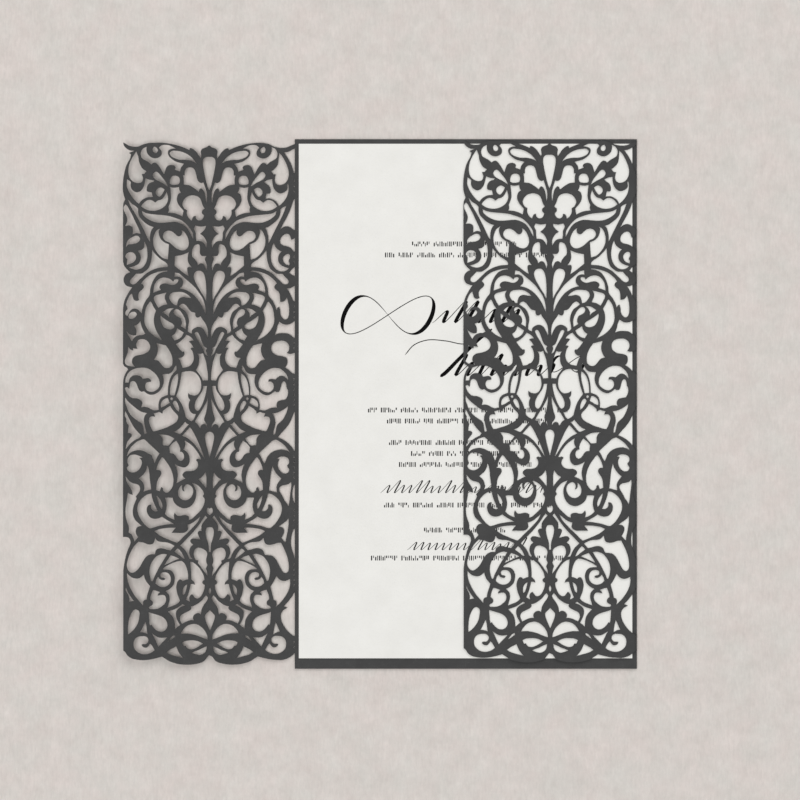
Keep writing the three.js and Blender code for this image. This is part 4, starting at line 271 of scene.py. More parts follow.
# Cuts beside the free edge
FREE_SIDE_CUTS = read_paths(f"""
corner_lobe: 27,190.3! 28.6,187.8 29.6,185.4 29.9,182.8 29.4,180.5 28,179.1 26.4,178.6 25,179 24.5,180.4
25,182! 24.1,182! 23.2,183! 24.7,184 25.9,186.3 26.3,188.6
lower_leaf: 30.4,180! 29.7,179.6 29,179! 29.1,177.8 28.7,176.4 27.7,175.5 26.7,175.2 25.4,175.7 24.3,177.2
23.8,179 23.5,180.4! 22.2,179.9 20.3,179.6! 20.6,179.1! 21.7,178.8 22.7,178 23.1,176.8 23,175.6 22.3,175.3!
21.3,175.2! 20.9,173.5! 22.6,173.4 24,172.9 25.2,172 26,170.9! 27.3,172 28.9,174 29.9,175.8 30.5,177.6
slit: 30.1,172.6! 28.6,170.9 27,169.9 26.3,169.1! 26.3,167.6 25.8,166.1 24.6,164.7 23.4,163.6 21.8,162.7
20.5,162.3! 21.2,161.5 21.7,160.3 21.95,158.6 21.9,156.8! 22.6,157.9 24.6,162.1 27.2,167 29.2,170.3
edge_wave: 31,170.7! 31.7,169.6 31.5,168.3 30.7,166.7 30.3,165.3 30.5,163.9 31.1,162.7! 29.7,162.9 28.5,162.3
28.2,161.2 28.3,159.6! 27,160.1 25.4,159.8! 26.2,161.9 27.4,164.4 28.6,167 29.5,168.6 30.4,170.2
bud_crescent: 24,157! 23.2,155.2 22.9,153.3 22.9,151 23.6,148.7 25,147.1 26.9,146.5 28.5,146.8 29.7,147.3!
27.8,147.8 26,148.9 25.3,150.5 25.5,152.1 26.4,153.5! 25,153.9 24.2,154.7 24,156
bud_leaf: 30.8,155! 30.4,156.8 29.6,157.9 28.4,158.6 27.3,159.1 26.2,158.9 25.6,157.9 26.1,156.9 27.1,156.3
28.6,156 30,155.8
bud_round: 29.4,153 28,152.7 27.2,151.6 27.2,150.4 28,149.3 29.2,148.7 30.5,148.3! 30.4,149.4 30.3,150.4!
31,151.3 30.6,152.4
outer_sweep: {SWEEP_TOP} 26.2,136.2 25.9,135.2! 26.9,134.9 27.8,135.3 28.3,136.4 28.6,137.6! 29.3,137.1
30.2,135.4 30.8,133.6! 30.3,132.6 30.2,131.9! 30.9,131 31,130 30.3,129.2! 29.9,130 29.3,131.2 28.3,132 27,132
26,131.4 25,130.3! 24.8,131.8 24.2,133.7 23.2,135.5 {SWEEP_FOOT}
ball: 28.6,130.8 27.4,130.8 26.8,130 27.3,129 28.5,128.3 29.7,128.4! 29.9,129.3 29.5,130.2
blob_side: 25.5,127.4! 25.2,126 24.7,124.6 23.7,122.8! 24.6,122.3 26,122.2 27.1,121.8 28.1,120.9 28.6,120!
29.3,121.1 30,122.3 30.6,123.7! 29.9,122.9 29.1,122.4 28,122.1 27,122.3! 26.9,123.2 27.1,124.6 27.8,125.7!
26.9,126 26,126.7
double_scroll: 24.8,120.8 26.2,120.4 26.9,119.3 27,118.3 26.5,117.1! 27.4,117.2 28.2,117.4! 28.1,116.5!
29,116.8 30,117.9! 30.15,115.8 30.7,114.2 31.2,112.8 31,111.6 29.7,110.8 27.6,110.6! 28.4,111.6 28.6,112.5
28.3,113.7 27.1,114.6 25,115 23.4,115.6 22.3,116.5 21.85,117.7 22.2,119.1 23.2,120.3
c_scroll: 31.1,104.6! 30.9,106.2 30.2,107.8 29,109.1 27.1,109.9 24.8,110.2 22.8,109.9 21.2,109 19.6,107.5
18.6,105.8 18.3,104 18.6,102.8 19.5,101.9 20.7,101.3 22,101.3 23,101.7 23.6,102.6 23.7,103.6 23.2,104.6
21.5,105! 21.7,105.8 22.6,106.3 23.5,106.2 24.5,106! 25.2,106.8 26.2,107.3 27.4,107.4 28.6,107 29.4,106.2
29.8,104.7!
cross_region: {CROSS_START} 20.6,94.4 21.6,94.8 22.7,95.4 24,95.7 25.1,95.5! 24.9,96.4 24.7,97 25,97.8
25.8,98.4 26.9,98.8 28.2,98.9 29.2,99.3 30.1,100.2 30.8,101.5 31.2,102.7! 30.3,102.9 29.6,102.3! 29.4,103.6
29.1,104.8 28.3,105.2 27.4,104.9 26.8,104 26.4,102.8 25.8,101.7 25,101.2! 24.2,101.4 23.2,100.7 22.2,100.2
21.2,100.1 20,100.4 {CROSS_END}
leaf_sliver: 31.1,99.1! 30.5,98.2 29.7,97.3 28.8,96.5 27.7,95.6 26.3,94.5 24.8,93.7 23,93.3! 23.8,92.4
24.2,91 24.1,89.8 23.8,88.3 23.5,87 23.2,85.9! 23.9,85.6 24.2,86.7 24.4,88.2 25,89.5 26.2,90.3 27.6,91.3
28.8,92.4 29.8,93.8 30.5,95.6 31.1,97.4
edge_leaf: 31,94! 30.3,92.6 29.4,90.8 28.5,89.1 27.6,87.7 26.4,86.3 25.2,85.1! 25.8,84.2 27.4,83.4 28.9,82.3
30,81.1 30.9,80! 30.7,81.4 30.2,82.8 29.4,83.9 28.7,84.8 28.8,85.6 29.4,85.9 30.1,86! 30,87.2 29.8,88.6
30.4,89.6 30.7,90.5 30.7,91.3 31.2,92.2 31.2,93.2
arc_gap: 24.2,83.7! 23.3,83 22.2,81.9 21,80.8 19.8,79.7 18.4,78.3! 19.1,77.3 19.7,76 20.2,74.7! 20.7,76.2
21.3,77.7! 22.4,78.3 23.9,79.1 25.7,79.6 27.5,79.4 29,78.8 30.4,77.4! 30,79 29.1,80.5 27.9,81.8 26.3,83
round_scroll: 28.4,77.9 29.3,77.6 30,76.8 30.3,75.8 30.2,74.9 29.8,74! 30.5,73! 30.1,72.1 29.3,71.5 28.3,71.3
27,71.6 25.9,72.5 25.2,73.7 24.9,74.9 25.2,76 25.9,76.7! 24.7,76.9! 26,77.5 27.2,77.9
long_drop: 23,74! 22.6,73.2 22.3,72 22.1,70.5 22,69 21.8,67.4 21.6,66 21.5,64.9! 22.6,64.8 23.5,64.5
24.3,64.2! 24,65.5 24.1,66.6 24.5,67.6 25.2,68.4 26.1,69.1! 25.4,69.7 24.4,70.5 23.7,71.4 23.2,72.6
edge_scroll: 30.9,69.9! 30.2,68.9 29.3,67.9 28.2,67.3 26.9,67 26,66.5 25.6,65.6 25.7,64.5 26.4,63.4
27.2,62.4! 26.9,61.7 27.4,60.4 28,58.8 28.3,57 28.1,55.2 27.4,53.7 26.3,52.6 25,51.5! 26.3,51.2 27,50.5
27.2,49.3 26.9,48.2 26.3,47.3! 27.7,45.7! 28.1,47.1 28.7,48.3 29.8,49! 29.7,50.5 29.9,51.8 30.5,53.4 30.9,55
31,57 30.8,59.2 30.4,61.3 30.1,63.8! 29.3,63.3 28.3,63! 28.6,64.5 29.2,65.6 30,66.8 30.6,68.2
wide_gap: 19.9,47.1! {WIDE_TOP} 19.8,42.3 20.1,41! 21.3,41 22.4,40.7 23.4,40 24.3,38.8 25,37.5 25.8,36.1
26.7,35.1 27.8,34.3 28.7,34.1 29.7,34.7 30.4,36 30.5,37.3 30.1,39 29.5,40.9 28.7,42.5 27.8,44 26.2,45.6!
25.3,45.5 24.3,45.3 23.4,44.9 22.3,44.6 21.2,44.7 20.5,45.3 20.2,46.1
edge_sliver: 30.9,28.7! 30.2,27 29.3,25.6 28.5,24.4 27.9,23.7! 28.8,23.6 29.6,23.4! 29.5,24.6 29.8,25.6
30.3,26.6 30.8,27.6
big_sail: 30.4,34! 29.7,33.2 28.7,32.4 27.4,32 26.3,32 25.2,32.5 24.2,33.4! 23.9,32.2 23.3,30.9 22.6,30
21.9,29.2! 22.2,28.1 22.6,27 23,25.7 23.2,24.2! 24,24 24.5,23.3 24.5,22.5 24.6,22! 25.5,23.2 26.5,24.3
27.4,25.4 28.3,26.8 29.1,28.3 29.8,29.9 30.2,31.3 30.4,32.7
long_oval: 27.2,20.6! 28,20.2 28.7,19.3 29.3,18 29.8,16.2 30,14.4 30.1,12.6 30,11.3! 29,12 28,13 26.9,14.5
26.2,16.1 25.9,17.8 25.8,19.3 26.2,20.1
small_wedge: 23.6,15.9! 23.3,14.6 23.1,13 22.9,11.5! 24,11.9 25.6,12.1! 24.9,13.2 24.3,14.5
""")

# Cuts beside the fold, some of them open to it
FOLD_SIDE_CUTS = read_paths(f"""
top_triangle: 27.7,190.1! 29.2,190.3 30.6,191 31.8,192! 31.8,181.3! 31.3,183.2 30.6,185.4 29.6,187.4 28.6,189
corner_lobe: 25.9,190! 27.2,188.6 28.4,186.4 29.2,184.4 29.6,182.2 29.3,180.4 28.4,178.9 27,178.1 25.9,178
24.9,178.5 24.4,179.6 24.5,181 24.8,181.9! 23.9,182! 23,183! 24.3,184 25.4,185.4 25.8,187.4
lower_leaf: 29.3,178.5! 29.5,177.3 29.4,175.5 28.9,173.8 28,172.3 26.9,171 25.9,170.2! 25.2,171.5 24.1,172.4
22.6,173 20.9,172.9! 21.3,174.8! 22.6,174.9 22.8,176.3 22.2,177.7 21.1,178.5 20.3,179.2! 21.8,179.9
23.4,180.2! 23.5,178.6 24,176.8 25,175.5 26.3,174.9 27.6,175.2 28.7,175.9 29.1,176.8 28.9,178.2!
slit: 28.6,170.2! 27.5,169.8 26.5,169! 26.4,167.4 25.8,165.8 24.6,164.4 23.2,163.3 21.8,162.4 20.5,162!
21.3,161.2 21.7,160 22,158.4 22,156.2! 22.9,158 24.5,161.3 26.5,165.2 27.8,168
tall_triangle: 31.8,173.8! 31.1,171.8 30.5,169.9 29.6,167.6 28.6,165.6 27.5,163.6 26.3,161.4! 27.4,162.3
28.7,162.7 30,162.4 31.1,161.6 31.8,160.9!
open_scroll: 28.6,159.9 27.3,159.2 26.4,157.8 26.5,156.3 27.4,155.6 29,155.2 30.4,154.6 31.2,153.6
31.8,152.9! 31.8,158.7! 31.2,158.1 30.6,157.6! 30.3,158.4 30,159.2 29.4,159.8
bud_crescent: 24,156.6! 24.5,155.2 25.3,154.2 26.2,153.6 26.9,153.3! 26,152.3 25.6,150.9 25.8,149.4
26.8,148.2 28.2,147.5 29.6,147.1! 28.8,146.4 27.3,145.9 25.7,146.2 24.3,147.3 23.3,149.1 22.9,151.4
23.1,153.8 23.5,155.5
ball: 29.3,152.4 28.2,152 27.4,150.9 27.6,149.6 28.4,148.6 29.8,148.1! 29.9,149! 29.5,149.8 30,151 29.9,152
small_triangle: 29.7,145.4! 30.5,146.4 31.8,147.9! 31.8,143.5! 30.9,144.6!
edge_triangle: 28.8,139.6! 30,139.7 31,140.2 31.8,141! 31.8,134! 31.1,135.3 30.4,137 29.6,138.5
outer_sweep: {SWEEP_TOP} 26.3,136 26.4,134.6! 27.4,134.7 28.2,135.2 28.8,136.3! 29.3,134.7 29.6,133
29.7,131.2 29.5,129.4 28.9,128.3 28,128.1 27.1,128.8 26.5,130 26.4,131.5 26,132.8! 25.4,132.5 25,131.6!
24.6,133 23.6,135 {SWEEP_FOOT}
under_hook: 26,127.3! 26.8,126.7 28,126.2 29.2,126.2 30.3,126.5 31.2,127.1 31.8,127.6! 31.8,120.6! 31.3,121.4
30.4,122.2 29.4,122.8 28,123 26.5,123 25.3,122.8 24.3,122.3! 25,124 25.4,125.8
double_scroll: 26.5,120.2 27.8,120.1 28.9,119.5 29.6,118.5 29.7,117.2 29.3,116.1 28.8,115.6! 29.8,115.3
30.8,115.4 31.8,116! 31.8,107.3! 31,108 30,109 29,109.8 28.1,110.3! 28.7,110.9 29,111.6 29.1,112.7 28.8,113.7
28.1,114.2 27,114.5 25.5,114.7 24.4,115.2 23.4,116.1 23.1,117.2 23.2,118.3 23.9,119.4 25.1,120
c_scroll: 21.9,105! 22.2,105.8 23.1,106 24.6,105.8! 25.3,106.5 26.3,107.1 27.4,107.1 28.4,106.5 29.4,105.3!
29.2,106.5 28.6,107.8 27.6,108.9 26.3,109.8 24.8,110.1 23,109.9 21.2,109 19.6,107.5 18.6,105.8 18.3,104
18.6,102.8 19.5,101.9 20.7,101.2 22,101 23,101.4 23.8,102.3 24,103.4 23.6,104.5 22.8,105
cross_region: {CROSS_START} 20.6,94.3 21.7,94.7 22.8,95.2 24.1,95.4 25.3,95.2! 25,96.1 25.1,97 25.7,97.8
26.7,98.1 28.4,98.4! 29,99.5 29.3,100.8 29.2,101.9! 28.8,102.7 28.6,104 28.2,104.9 27.6,105.1 27,104.5
26.7,103.5 26.4,102.2 25.9,101.2 25,101.1! 24.3,101.4 23.4,100.7 22.4,100.1 21.4,99.9 20,100.3 {CROSS_END}
leaf_sliver: 23.4,93.2! 24.9,93.4 26.3,93.9 27.6,94.6 28.7,95.4 29.3,96! 29.1,94.8 28.7,93.5 28.1,92.2
27.4,91 26.5,90.1 25.5,89.2 25,88.2 24.8,87 24.4,85.4! 23.8,85.3! 23.9,86.7 24.3,88 24.6,89.4 24.5,90.9
24.1,92.2
fold_triangle: 31.8,94.8! 31.2,92.8 30.4,90.7 29.3,88.8 28,87.2 26.7,85.8 25.5,84.3! 27,83.7 28.5,82.8
29.9,81.6 31,80.3 31.8,78.9!
arc_gap: 24.8,83.5! 26.4,82.6 27.9,81.4 29.1,80 30,78.6! 28.7,79.4 27.2,79.8 25.7,79.7 24,79.2 22.6,78.3
21.5,77! 21,75.7 20.5,74.6! 19.7,76 19.1,77.3 18.4,78.3! 19.8,79.7 21,80.8 22.2,81.9 23.4,83
round_scroll: 27.5,77.2 28.5,77 29.3,76.5 29.7,75.6 29.6,74.6! 28.9,73.8! 29.3,73! 29.7,72.4 29.4,71.4
28.6,70.9 27.5,71 26.5,71.7 25.8,72.8 25.5,74 25.6,75.2 26.1,76.2! 25,76.4! 25.8,76.9 26.6,77.2
long_drop: 23.6,73.9! 23.9,72.6 24.5,71.5 25.4,70.3 26.8,69! 26,68 25.3,67 25,65.8 25.1,64.5 25.2,63.8!
24.2,64.1 23.2,64.4 22.2,64.6! 22.4,66 22.6,68 22.8,70 23.1,72
upper_drop: 30.4,67.9! 29.8,67.2 29,66.8 28,66.6 27,66.4 26.3,65.9 26,65.2 26.3,64 27,62.9 27.5,62! 28,60.9
28.8,59.9 29.4,58.6! 29.8,60.5 30,62.5 30.3,64.8 30.5,66.5
lower_drop: 29.5,54.4! 28.8,53.4 27.9,52.7 26.9,52 25.7,51.1! 27.2,50.8 27.8,50 27.8,48.9 27.4,47.9
26.8,46.9! 27.6,46 28.4,45.2! 28.5,46.5 28.9,48.2 29.2,50 29.5,52
upper_slot: 31.8,67.3! 31.3,66.2 31,64.6 30.9,62.9 31.2,61.2 31.8,59.3!
lower_slot: 31.8,51.3! 31.2,49.8 30.7,48.2 30.4,46.3 30.4,44.5 30.7,42.8 31.3,41 31.8,38.8!
wide_gap: 20.2,47.1! {WIDE_TOP} 19.9,42.4 20.7,40.7! 22,40.6 23.2,40.4 24.3,39.6 25.1,38.5 25.9,37 26.8,35.3
27.6,34.2 28.5,33.9 29.3,34.5 29.6,35.7 29.5,37.5 29.1,39.7 28.3,41.9 27.5,43.6 26.7,45.2! 25.3,45.1
23.8,44.6 22.4,44.4 21.3,44.6 20.6,45.3
big_sail: 25,32.9! 25.7,31.9 26.7,31.2 27.9,31 29.1,31.3 30,31.8! 30.1,30.2 29.8,28.5 29.2,26.9 28.2,25.2
27,23.6 25.9,22.4 24.8,21.4! 25.1,22.7 24.8,23.6 23.9,24! 23.7,25.3 23.3,26.8 22.7,28.9! 23.5,30 24.2,31.3
low_triangle: 31.8,27.6! 31.3,26.2 30.8,25.2 30,24.2 29.2,23.2 28.4,22.3 27.7,21.6! 29.1,21.1! 28.4,20.7
27.5,20.1 26.9,19.3 26.6,18.3 26.7,16.9 27.1,15.5 27.8,14.2 28.7,12.9 29.7,11.8 30.7,11 31.8,10.3!
small_wedge: 24.6,15.8! 25.2,14.6 25.8,13.2 26.3,12.1! 25.3,12 24.3,11.5 23.8,11.2! 24,12.8 24.3,14.4
""")

# The flap's outer edge: top edge from the middle out, free edge or fold going down, lower edge back
EDGES = read_paths("""
top: 0,192.6 .9,192 2.6,191.3 3.1,190.4 2.9,188.7 3.1,187.9! 3.7,188.7 4.6,190.1 6.3,191.5 7.1,191.6
7.3,190.9! 8.8,191.6 11.3,192.5 14.1,193.2 17.2,193.6 19.9,193.6
free_top: 22.3,193.5 24.6,192.9 26.2,192.2 28.1,192.1 29.9,192.6 31.1,193.3 31.9,193.7!
free: 31.5,192.4 30.6,191.4 29.2,190.7 27.7,190.6! 29.7,189.8! 28.9,189.2! 29.3,187.7 30.1,186.3 30.9,184.5
31.5,182 31.9,179.2 31.9,175.5 31.4,173.4 31.1,172.5! 31.7,171.3 31.9,169.9! 31.9,149.5! 31.5,148 30.6,146.8
29.3,145.6! 30.8,144.8 31.6,143.5 31.6,142 30.8,140.7 29.4,140.1 28.5,140! 29.5,138.6 30.4,137 31.1,135.7
31.7,133.7 31.9,132! 31.9,129.2! 31.9,111.6! 31.3,110.6 30.4,110.1 30,109.5! 30.7,108.6 31.3,107.3 31.8,105.6
31.9,103.5! 31.9,47.4! 31,47.4! 30,47.2 29.3,46.4 29.1,45.3 29.4,44.2 30,42.9 30.6,41.2 31.1,39.3 31.5,37.2
31.8,35! 31.8,5.3! 31,4.6 30.4,3.6 29.5,2.8 28.3,2.2 26.8,1.9
fold_top: 22.3,193.1 24,192.3 26.2,191.8 28.5,191.9 30.2,192.6 31.8,193.2!
fold_low: 31.8,4.3! 31.1,3.5 30,2.7 29,2.2 27.8,1.8 26.5,1.6
low: 24.8,1.7 22.8,1.8 21,2.1 19.3,2.5 17.5,3! 16.8,2.6 15.9,2 14.8,1.3 13.2,.7 11.2,.2 9.2,0 6.8,0 4.7,.3
2.8,.8 1.7,1.4! 1.1,2.2 .6,2.9 0,3.5!
""")

# From the drawing's paths to outlines of (x, y) in millimetres
CURVE_STEPS = 6
STRAIGHT_WITHIN = 0.015
LONGEST_STEP = 1.2
ON_LINE = 0.001
CUT_OVERRUN = 1
SHORTEST_TAB = 1
TINY = 1e-6


# How far the mirrored half stands out: nothing at the top, the whole spread at the foot
def spread(v):
    return DRAWN_SPREAD * (1 - v / DRAWN_HEIGHT)


def free_side(path):
    return [(-d, v, corner) for d, v, corner in path]


def mirrored_side(path):
    return [(d + spread(v), v, corner) for d, v, corner in path]


def middle_path(half):
    left = [(-d + spread(v) / 2, v, corner) for d, v, corner in half]
    right = [(d + spread(v) / 2, v, corner) for d, v, corner in half[1:-1]]
    return left + right[::-1]


def outer_path():
    left = free_side(EDGES["top"] + EDGES["free_top"] + EDGES["free"] + EDGES["low"])
    right = mirrored_side(EDGES["top"])[1:] + EDGES["fold_top"]
    right += EDGES["fold_low"] + mirrored_side(EDGES["low"])[:-1]
    return left + right[::-1]


def cut_paths():
    paths = [free_side(path) for path in PAIRED_CUTS.values()]
    paths += [mirrored_side(path) for path in PAIRED_CUTS.values()]
    paths += [middle_path(half) for half in MIDDLE_CUTS.values()]
    paths += [free_side(path) for path in FREE_SIDE_CUTS.values()]
    paths += FOLD_SIDE_CUTS.values()
    return paths


# Points of a centripetal curve from p1 to p2, without p2
def curve_span(p0, p1, p2, p3, steps):
    t1 = max((p1 - p0).length, TINY) ** 0.5
    t2 = t1 + max((p2 - p1).length, TINY) ** 0.5
    t3 = t2 + max((p3 - p2).length, TINY) ** 0.5
    points = []
    for step in range(steps):
        t = t1 + (t2 - t1) * step / steps
        a = p0.lerp(p1, t / t1)
        b = p1.lerp(p2, (t - t1) / (t2 - t1))
        c = p2.lerp(p3, (t - t2) / (t3 - t2))
        d = a.lerp(b, t / t2)
        e = b.lerp(c, (t - t1) / (t3 - t1))
        points.append(d.lerp(e, (t - t1) / (t2 - t1)))
    return points


# A curve from a chain's second point to its last but one, without that one
def curve_run(chain, steps):
    run = []
    for p0, p1, p2, p3 in zip(chain, chain[1:], chain[2:], chain[3:]):
        run += curve_span(p0, p1, p2, p3, steps)
    return run


# A smooth run through points, without the last one. The neighbours that its ends lack are mirrored.
def smooth_run(points, steps):
    if len(points) == 2:
        return points[:1]
    return curve_run([points[0] * 2 - points[1]] + points + [points[-1] * 2 - points[-2]], steps)


# Points on a nearly straight stretch are left out
def thinned(points):
    kept = []
    for i, point in enumerate(points):
        before = kept[-1] if kept else points[-1]
        along = points[(i + 1) % len(points)] - before
        off = abs((point - before).cross(along)) / max(along.length, TINY)
        if off > STRAIGHT_WITHIN or (point - before).length > LONGEST_STEP:
            kept.append(point)
    return kept


# The outline of a path: smooth runs from corner to corner, or one closed run where it has no corner
def outline(path):
    flat = [Vector((x, y)) for x, y, corner in path]
    corners = [i for i, point in enumerate(path) if point[2]]
    if not corners:
        return thinned(curve_run(flat[-1:] + flat + flat[:2], CURVE_STEPS))
    first = corners[0]
    ring = flat[first:] + flat[:first + 1]
    stops = [i - first for i in corners] + [len(flat)]
    points = []
    for start, end in zip(stops, stops[1:]):
        points += smooth_run(ring[start:end + 1], CURVE_STEPS)
    return thinned(points)


# From drawing to flap: x from the fold, y from the lace's lowest point. A cut that reaches the fold line is
# open to it.
ACROSS = FLAP_WIDTH / (DRAWN_FOLD + DRAWN_FREE)
UP = LACE_HEIGHT / DRAWN_HEIGHT


def on_flap(points, overrun=0):
    placed = []
    for point in points:
        past = overrun if abs(point.x - DRAWN_FOLD) < ON_LINE else 0
        placed.append(Vector(((point.x + past - DRAWN_FOLD) * ACROSS, point.y * UP)))
    area = sum(a.cross(b) for a, b in zip(placed, placed[1:] + placed[:1]))
    return placed if area > 0 else placed[::-1]


# The stretches of the fold line where lace and panel are joined
def fold_tabs():
    openings = []
    for path in FOLD_SIDE_CUTS.values():
        heights = [v for d, v, corner in path if abs(d - DRAWN_FOLD) < ON_LINE]
        if len(heights) > 1:
            openings.append((min(heights), max(heights)))
    tabs = []
    start = EDGES["fold_low"][0][1]
    for low, high in sorted(openings):
        tabs.append((start * UP, low * UP))
        start = high
    tabs.append((start * UP, EDGES["fold_top"][-1][1] * UP))
    return [(low, high) for low, high in tabs if high - low > SHORTEST_TAB]


# Small slots beside the fold, which weaken the sheet so that it folds cleanly
SLOT_PITCH = 1.93
SLOT_LENGTH = 0.9
SLOT_WIDTH = 0.24
SLOT_FROM_FOLD = 0.18
SLOT_MARGIN = 0.6


def fold_slots():
    rings = []
    right = -SLOT_FROM_FOLD
    left = right - SLOT_WIDTH
    for low, high in fold_tabs():
        count = int((high - low - SLOT_MARGIN) / SLOT_PITCH)
        first = (low + high - SLOT_PITCH * (count - 1)) / 2
        for i in range(count):
            foot = first + i * SLOT_PITCH - SLOT_LENGTH / 2
            head = foot + SLOT_LENGTH
            slot = ((left, foot), (right, foot), (right, head), (left, head))
            rings.append([Vector(place) for place in slot])
    return rings


# Settings of the flat triangulation
ALL_TRIANGLES = 0
MERGE_WITHIN = 1e-5


# The lace flap as flat triangles: what lies in the outer edge, which is face 0, and in no cut
def lace_triangles(slots):
    rings = [on_flap(outline(outer_path()))]
    rings += [on_flap(outline(path), CUT_OVERRUN) for path in cut_paths()]
    points = []
    faces = []
    for ring in rings + slots:
        faces.append(list(range(len(points), len(points) + len(ring))))
        points += ring
    result = delaunay_2d_cdt(points, [], faces, ALL_TRIANGLES, MERGE_WITHIN)
    triangles = [tuple(face) for face, source in zip(result[2], result[5]) if list(source) == [0]]
    return result[0], triangles


# Gathers a sheet's faces. Finish 0 is the sheet's own surface and finish 1 its cut edge.
class Sheet:
    def __init__(self):
        self.verts = []
        self.faces = []
        self.finish = []

    # A slab over flat triangles. place gives the place of a flat point at a height above the underside.
    def slab(self, flat, triangles, place):
        used = sorted({i for triangle in triangles for i in triangle})
        low = {old: len(self.verts) + new for new, old in enumerate(used)}
        rise = len(used)
        self.verts += [place(flat[i], 0) for i in used] + [place(flat[i], SHEET) for i in used]
        sides = set()
        for triangle in triangles:
            a, b, c = (low[i] for i in triangle)
            self.faces += [(a + rise, b + rise, c + rise), (c, b, a)]
            self.finish += [0, 0]
            sides.update(((a, b), (b, c), (c, a)))
        for a, b in sorted(sides):
            if (b, a) not in sides:
                self.faces.append((a, b, b + rise, a + rise))
                self.finish.append(1)

    # A half round bend from the panel's level to the closed flap's, between two heights on the sheet
    def bend(self, low, high):
        base = len(self.verts)
        ring = []
        for radius in (BEND_RADIUS, BEND_RADIUS - SHEET):
            for step in range(BEND_STEPS + 1):
                angle = math.pi * (step / BEND_STEPS - 0.5)
                x = HALF_WIDTH - BEND_RADIUS + radius * math.cos(angle)
                ring.append((x, BEND_RADIUS + radius * math.sin(angle)))
        for y in (low, high):
            self.verts += [Vector((x, y, z)) * MM for x, z in ring]
        inner = BEND_STEPS + 1
        back = 2 * inner
        for step in range(BEND_STEPS):
            a = base + step
            b = a + 1
            self.faces += [
                (a, b, b + back, a + back),
                (a + inner + back, b + inner + back, b + inner, a + inner),
                (b, a, a + inner, b + inner),
                (a + back, b + back, b + inner + back, a + inner + back),
            ]
            self.finish += [0, 0, 1, 1]


def add_object(name, data):
    thing = bpy.data.objects.new(name, data)
    bpy.context.scene.collection.objects.link(thing)
    return thing


def new_piece(name, verts, faces, materials):
    mesh = bpy.data.meshes.new(name)
    mesh.from_pydata([tuple(vert) for vert in verts], [], faces)
    for material in materials:
        mesh.materials.append(material)
    mesh.update()
    return add_object(name, mesh)


# Materials
def set_inputs(node, values):
    for name, value in values.items():
        node.inputs[name].default_value = value


def new_material(name, roughness, specular):
    material = bpy.data.materials.new(name)
    material.use_nodes = True
    tree = material.node_tree
    shader = tree.nodes["Principled BSDF"]
    set_inputs(shader, {"Roughness": roughness, "Specular IOR Level": specular})
    return material, tree, shader


# Noise in the object's own metres, so that a grain is 1 / scale across. stretch draws it out along each axis.
def grain(tree, scale, detail, roughness=0.6, stretch=(1, 1, 1)):
    where = tree.nodes.new("ShaderNodeTexCoord")
    mapping = tree.nodes.new("ShaderNodeMapping")
    noise = tree.nodes.new("ShaderNodeTexNoise")
    set_inputs(mapping, {"Scale": stretch})
    set_inputs(noise, {"Scale": scale, "Detail": detail, "Roughness": roughness})
    tree.links.new(where.outputs["Object"], mapping.inputs["Vector"])
    tree.links.new(mapping.outputs["Vector"], noise.inputs["Vector"])
    return noise.outputs["Fac"]


# Colours over a factor, from dark at low to light at high
def ramp(tree, factor, low, high, dark, light):
    node = tree.nodes.new("ShaderNodeValToRGB")
    for stop, place, color in zip(node.color_ramp.elements, (low, high), (dark, light)):
        stop.position = place
        stop.color = (*color, 1)
    tree.links.new(factor, node.inputs["Fac"])
    return node.outputs["Color"]


def multiply(tree, factor, first, second):
    node = tree.nodes.new("ShaderNodeMix")
    node.data_type = "RGBA"
    node.blend_type = "MULTIPLY"
    set_inputs(node, {"Factor": factor})
    tree.links.new(first, node.inputs["A"])
    tree.links.new(second, node.inputs["B"])
    return node.outputs["Result"]


# Gives the shader its colour, and a bump of that height
def dress(tree, shader, color, height, strength, distance):
    tree.links.new(color, shader.inputs["Base Color"])
    node = tree.nodes.new("ShaderNodeBump")
    set_inputs(node, {"Strength": strength, "Distance": distance})
    tree.links.new(height, node.inputs["Height"])
    tree.links.new(node.outputs["Normal"], shader.inputs["Normal"])


# Grains and colours that the materials share
WHITE = (1, 1, 1)
FIBRE_GRAIN = 1500
FIBRE_COLOR = (1.5, 1.5, 1.5)
SPECK_GRAIN = 1800
FELT_GRAIN = 900
FELT_STRETCH = (1, 1.6, 1)


# Charcoal card: a faint cloudiness, pale fibres that lie every way, and a felt surface
def charcoal_card():
    material, tree, shader = new_material("charcoal_card", roughness=0.82, specular=0.3)
    cloud = ramp(tree, grain(tree, 160, 6), 0.3, 0.7, (0.0455, 0.0455, 0.0456), (0.056, 0.056, 0.0561))
    along = ramp(tree, grain(tree, FIBRE_GRAIN, 3, stretch=(0.35, 2, 1)), 0.6, 0.75, WHITE, FIBRE_COLOR)
    across = ramp(tree, grain(tree, FIBRE_GRAIN, 3, stretch=(2, 0.35, 1)), 0.6, 0.75, WHITE, FIBRE_COLOR)
    color = multiply(tree, 0.7, cloud, multiply(tree, 1, along, across))
    dress(tree, shader, color, grain(tree, FIBRE_GRAIN, 8), 0.35, 0.00012)
    return material


# The laser leaves the cut edge duller and a little browner than the surface
def cut_edge():
    material, tree, shader = new_material("cut_edge", roughness=0.95, specular=0.15)
    burn = ramp(tree, grain(tree, 900, 4), 0.35, 0.65, (0.045, 0.041, 0.037), (0.08, 0.075, 0.069))
    dress(tree, shader, burn, grain(tree, 2500, 3, stretch=(1, 1, 0.2)), 0.4, 0.0001)
    return material


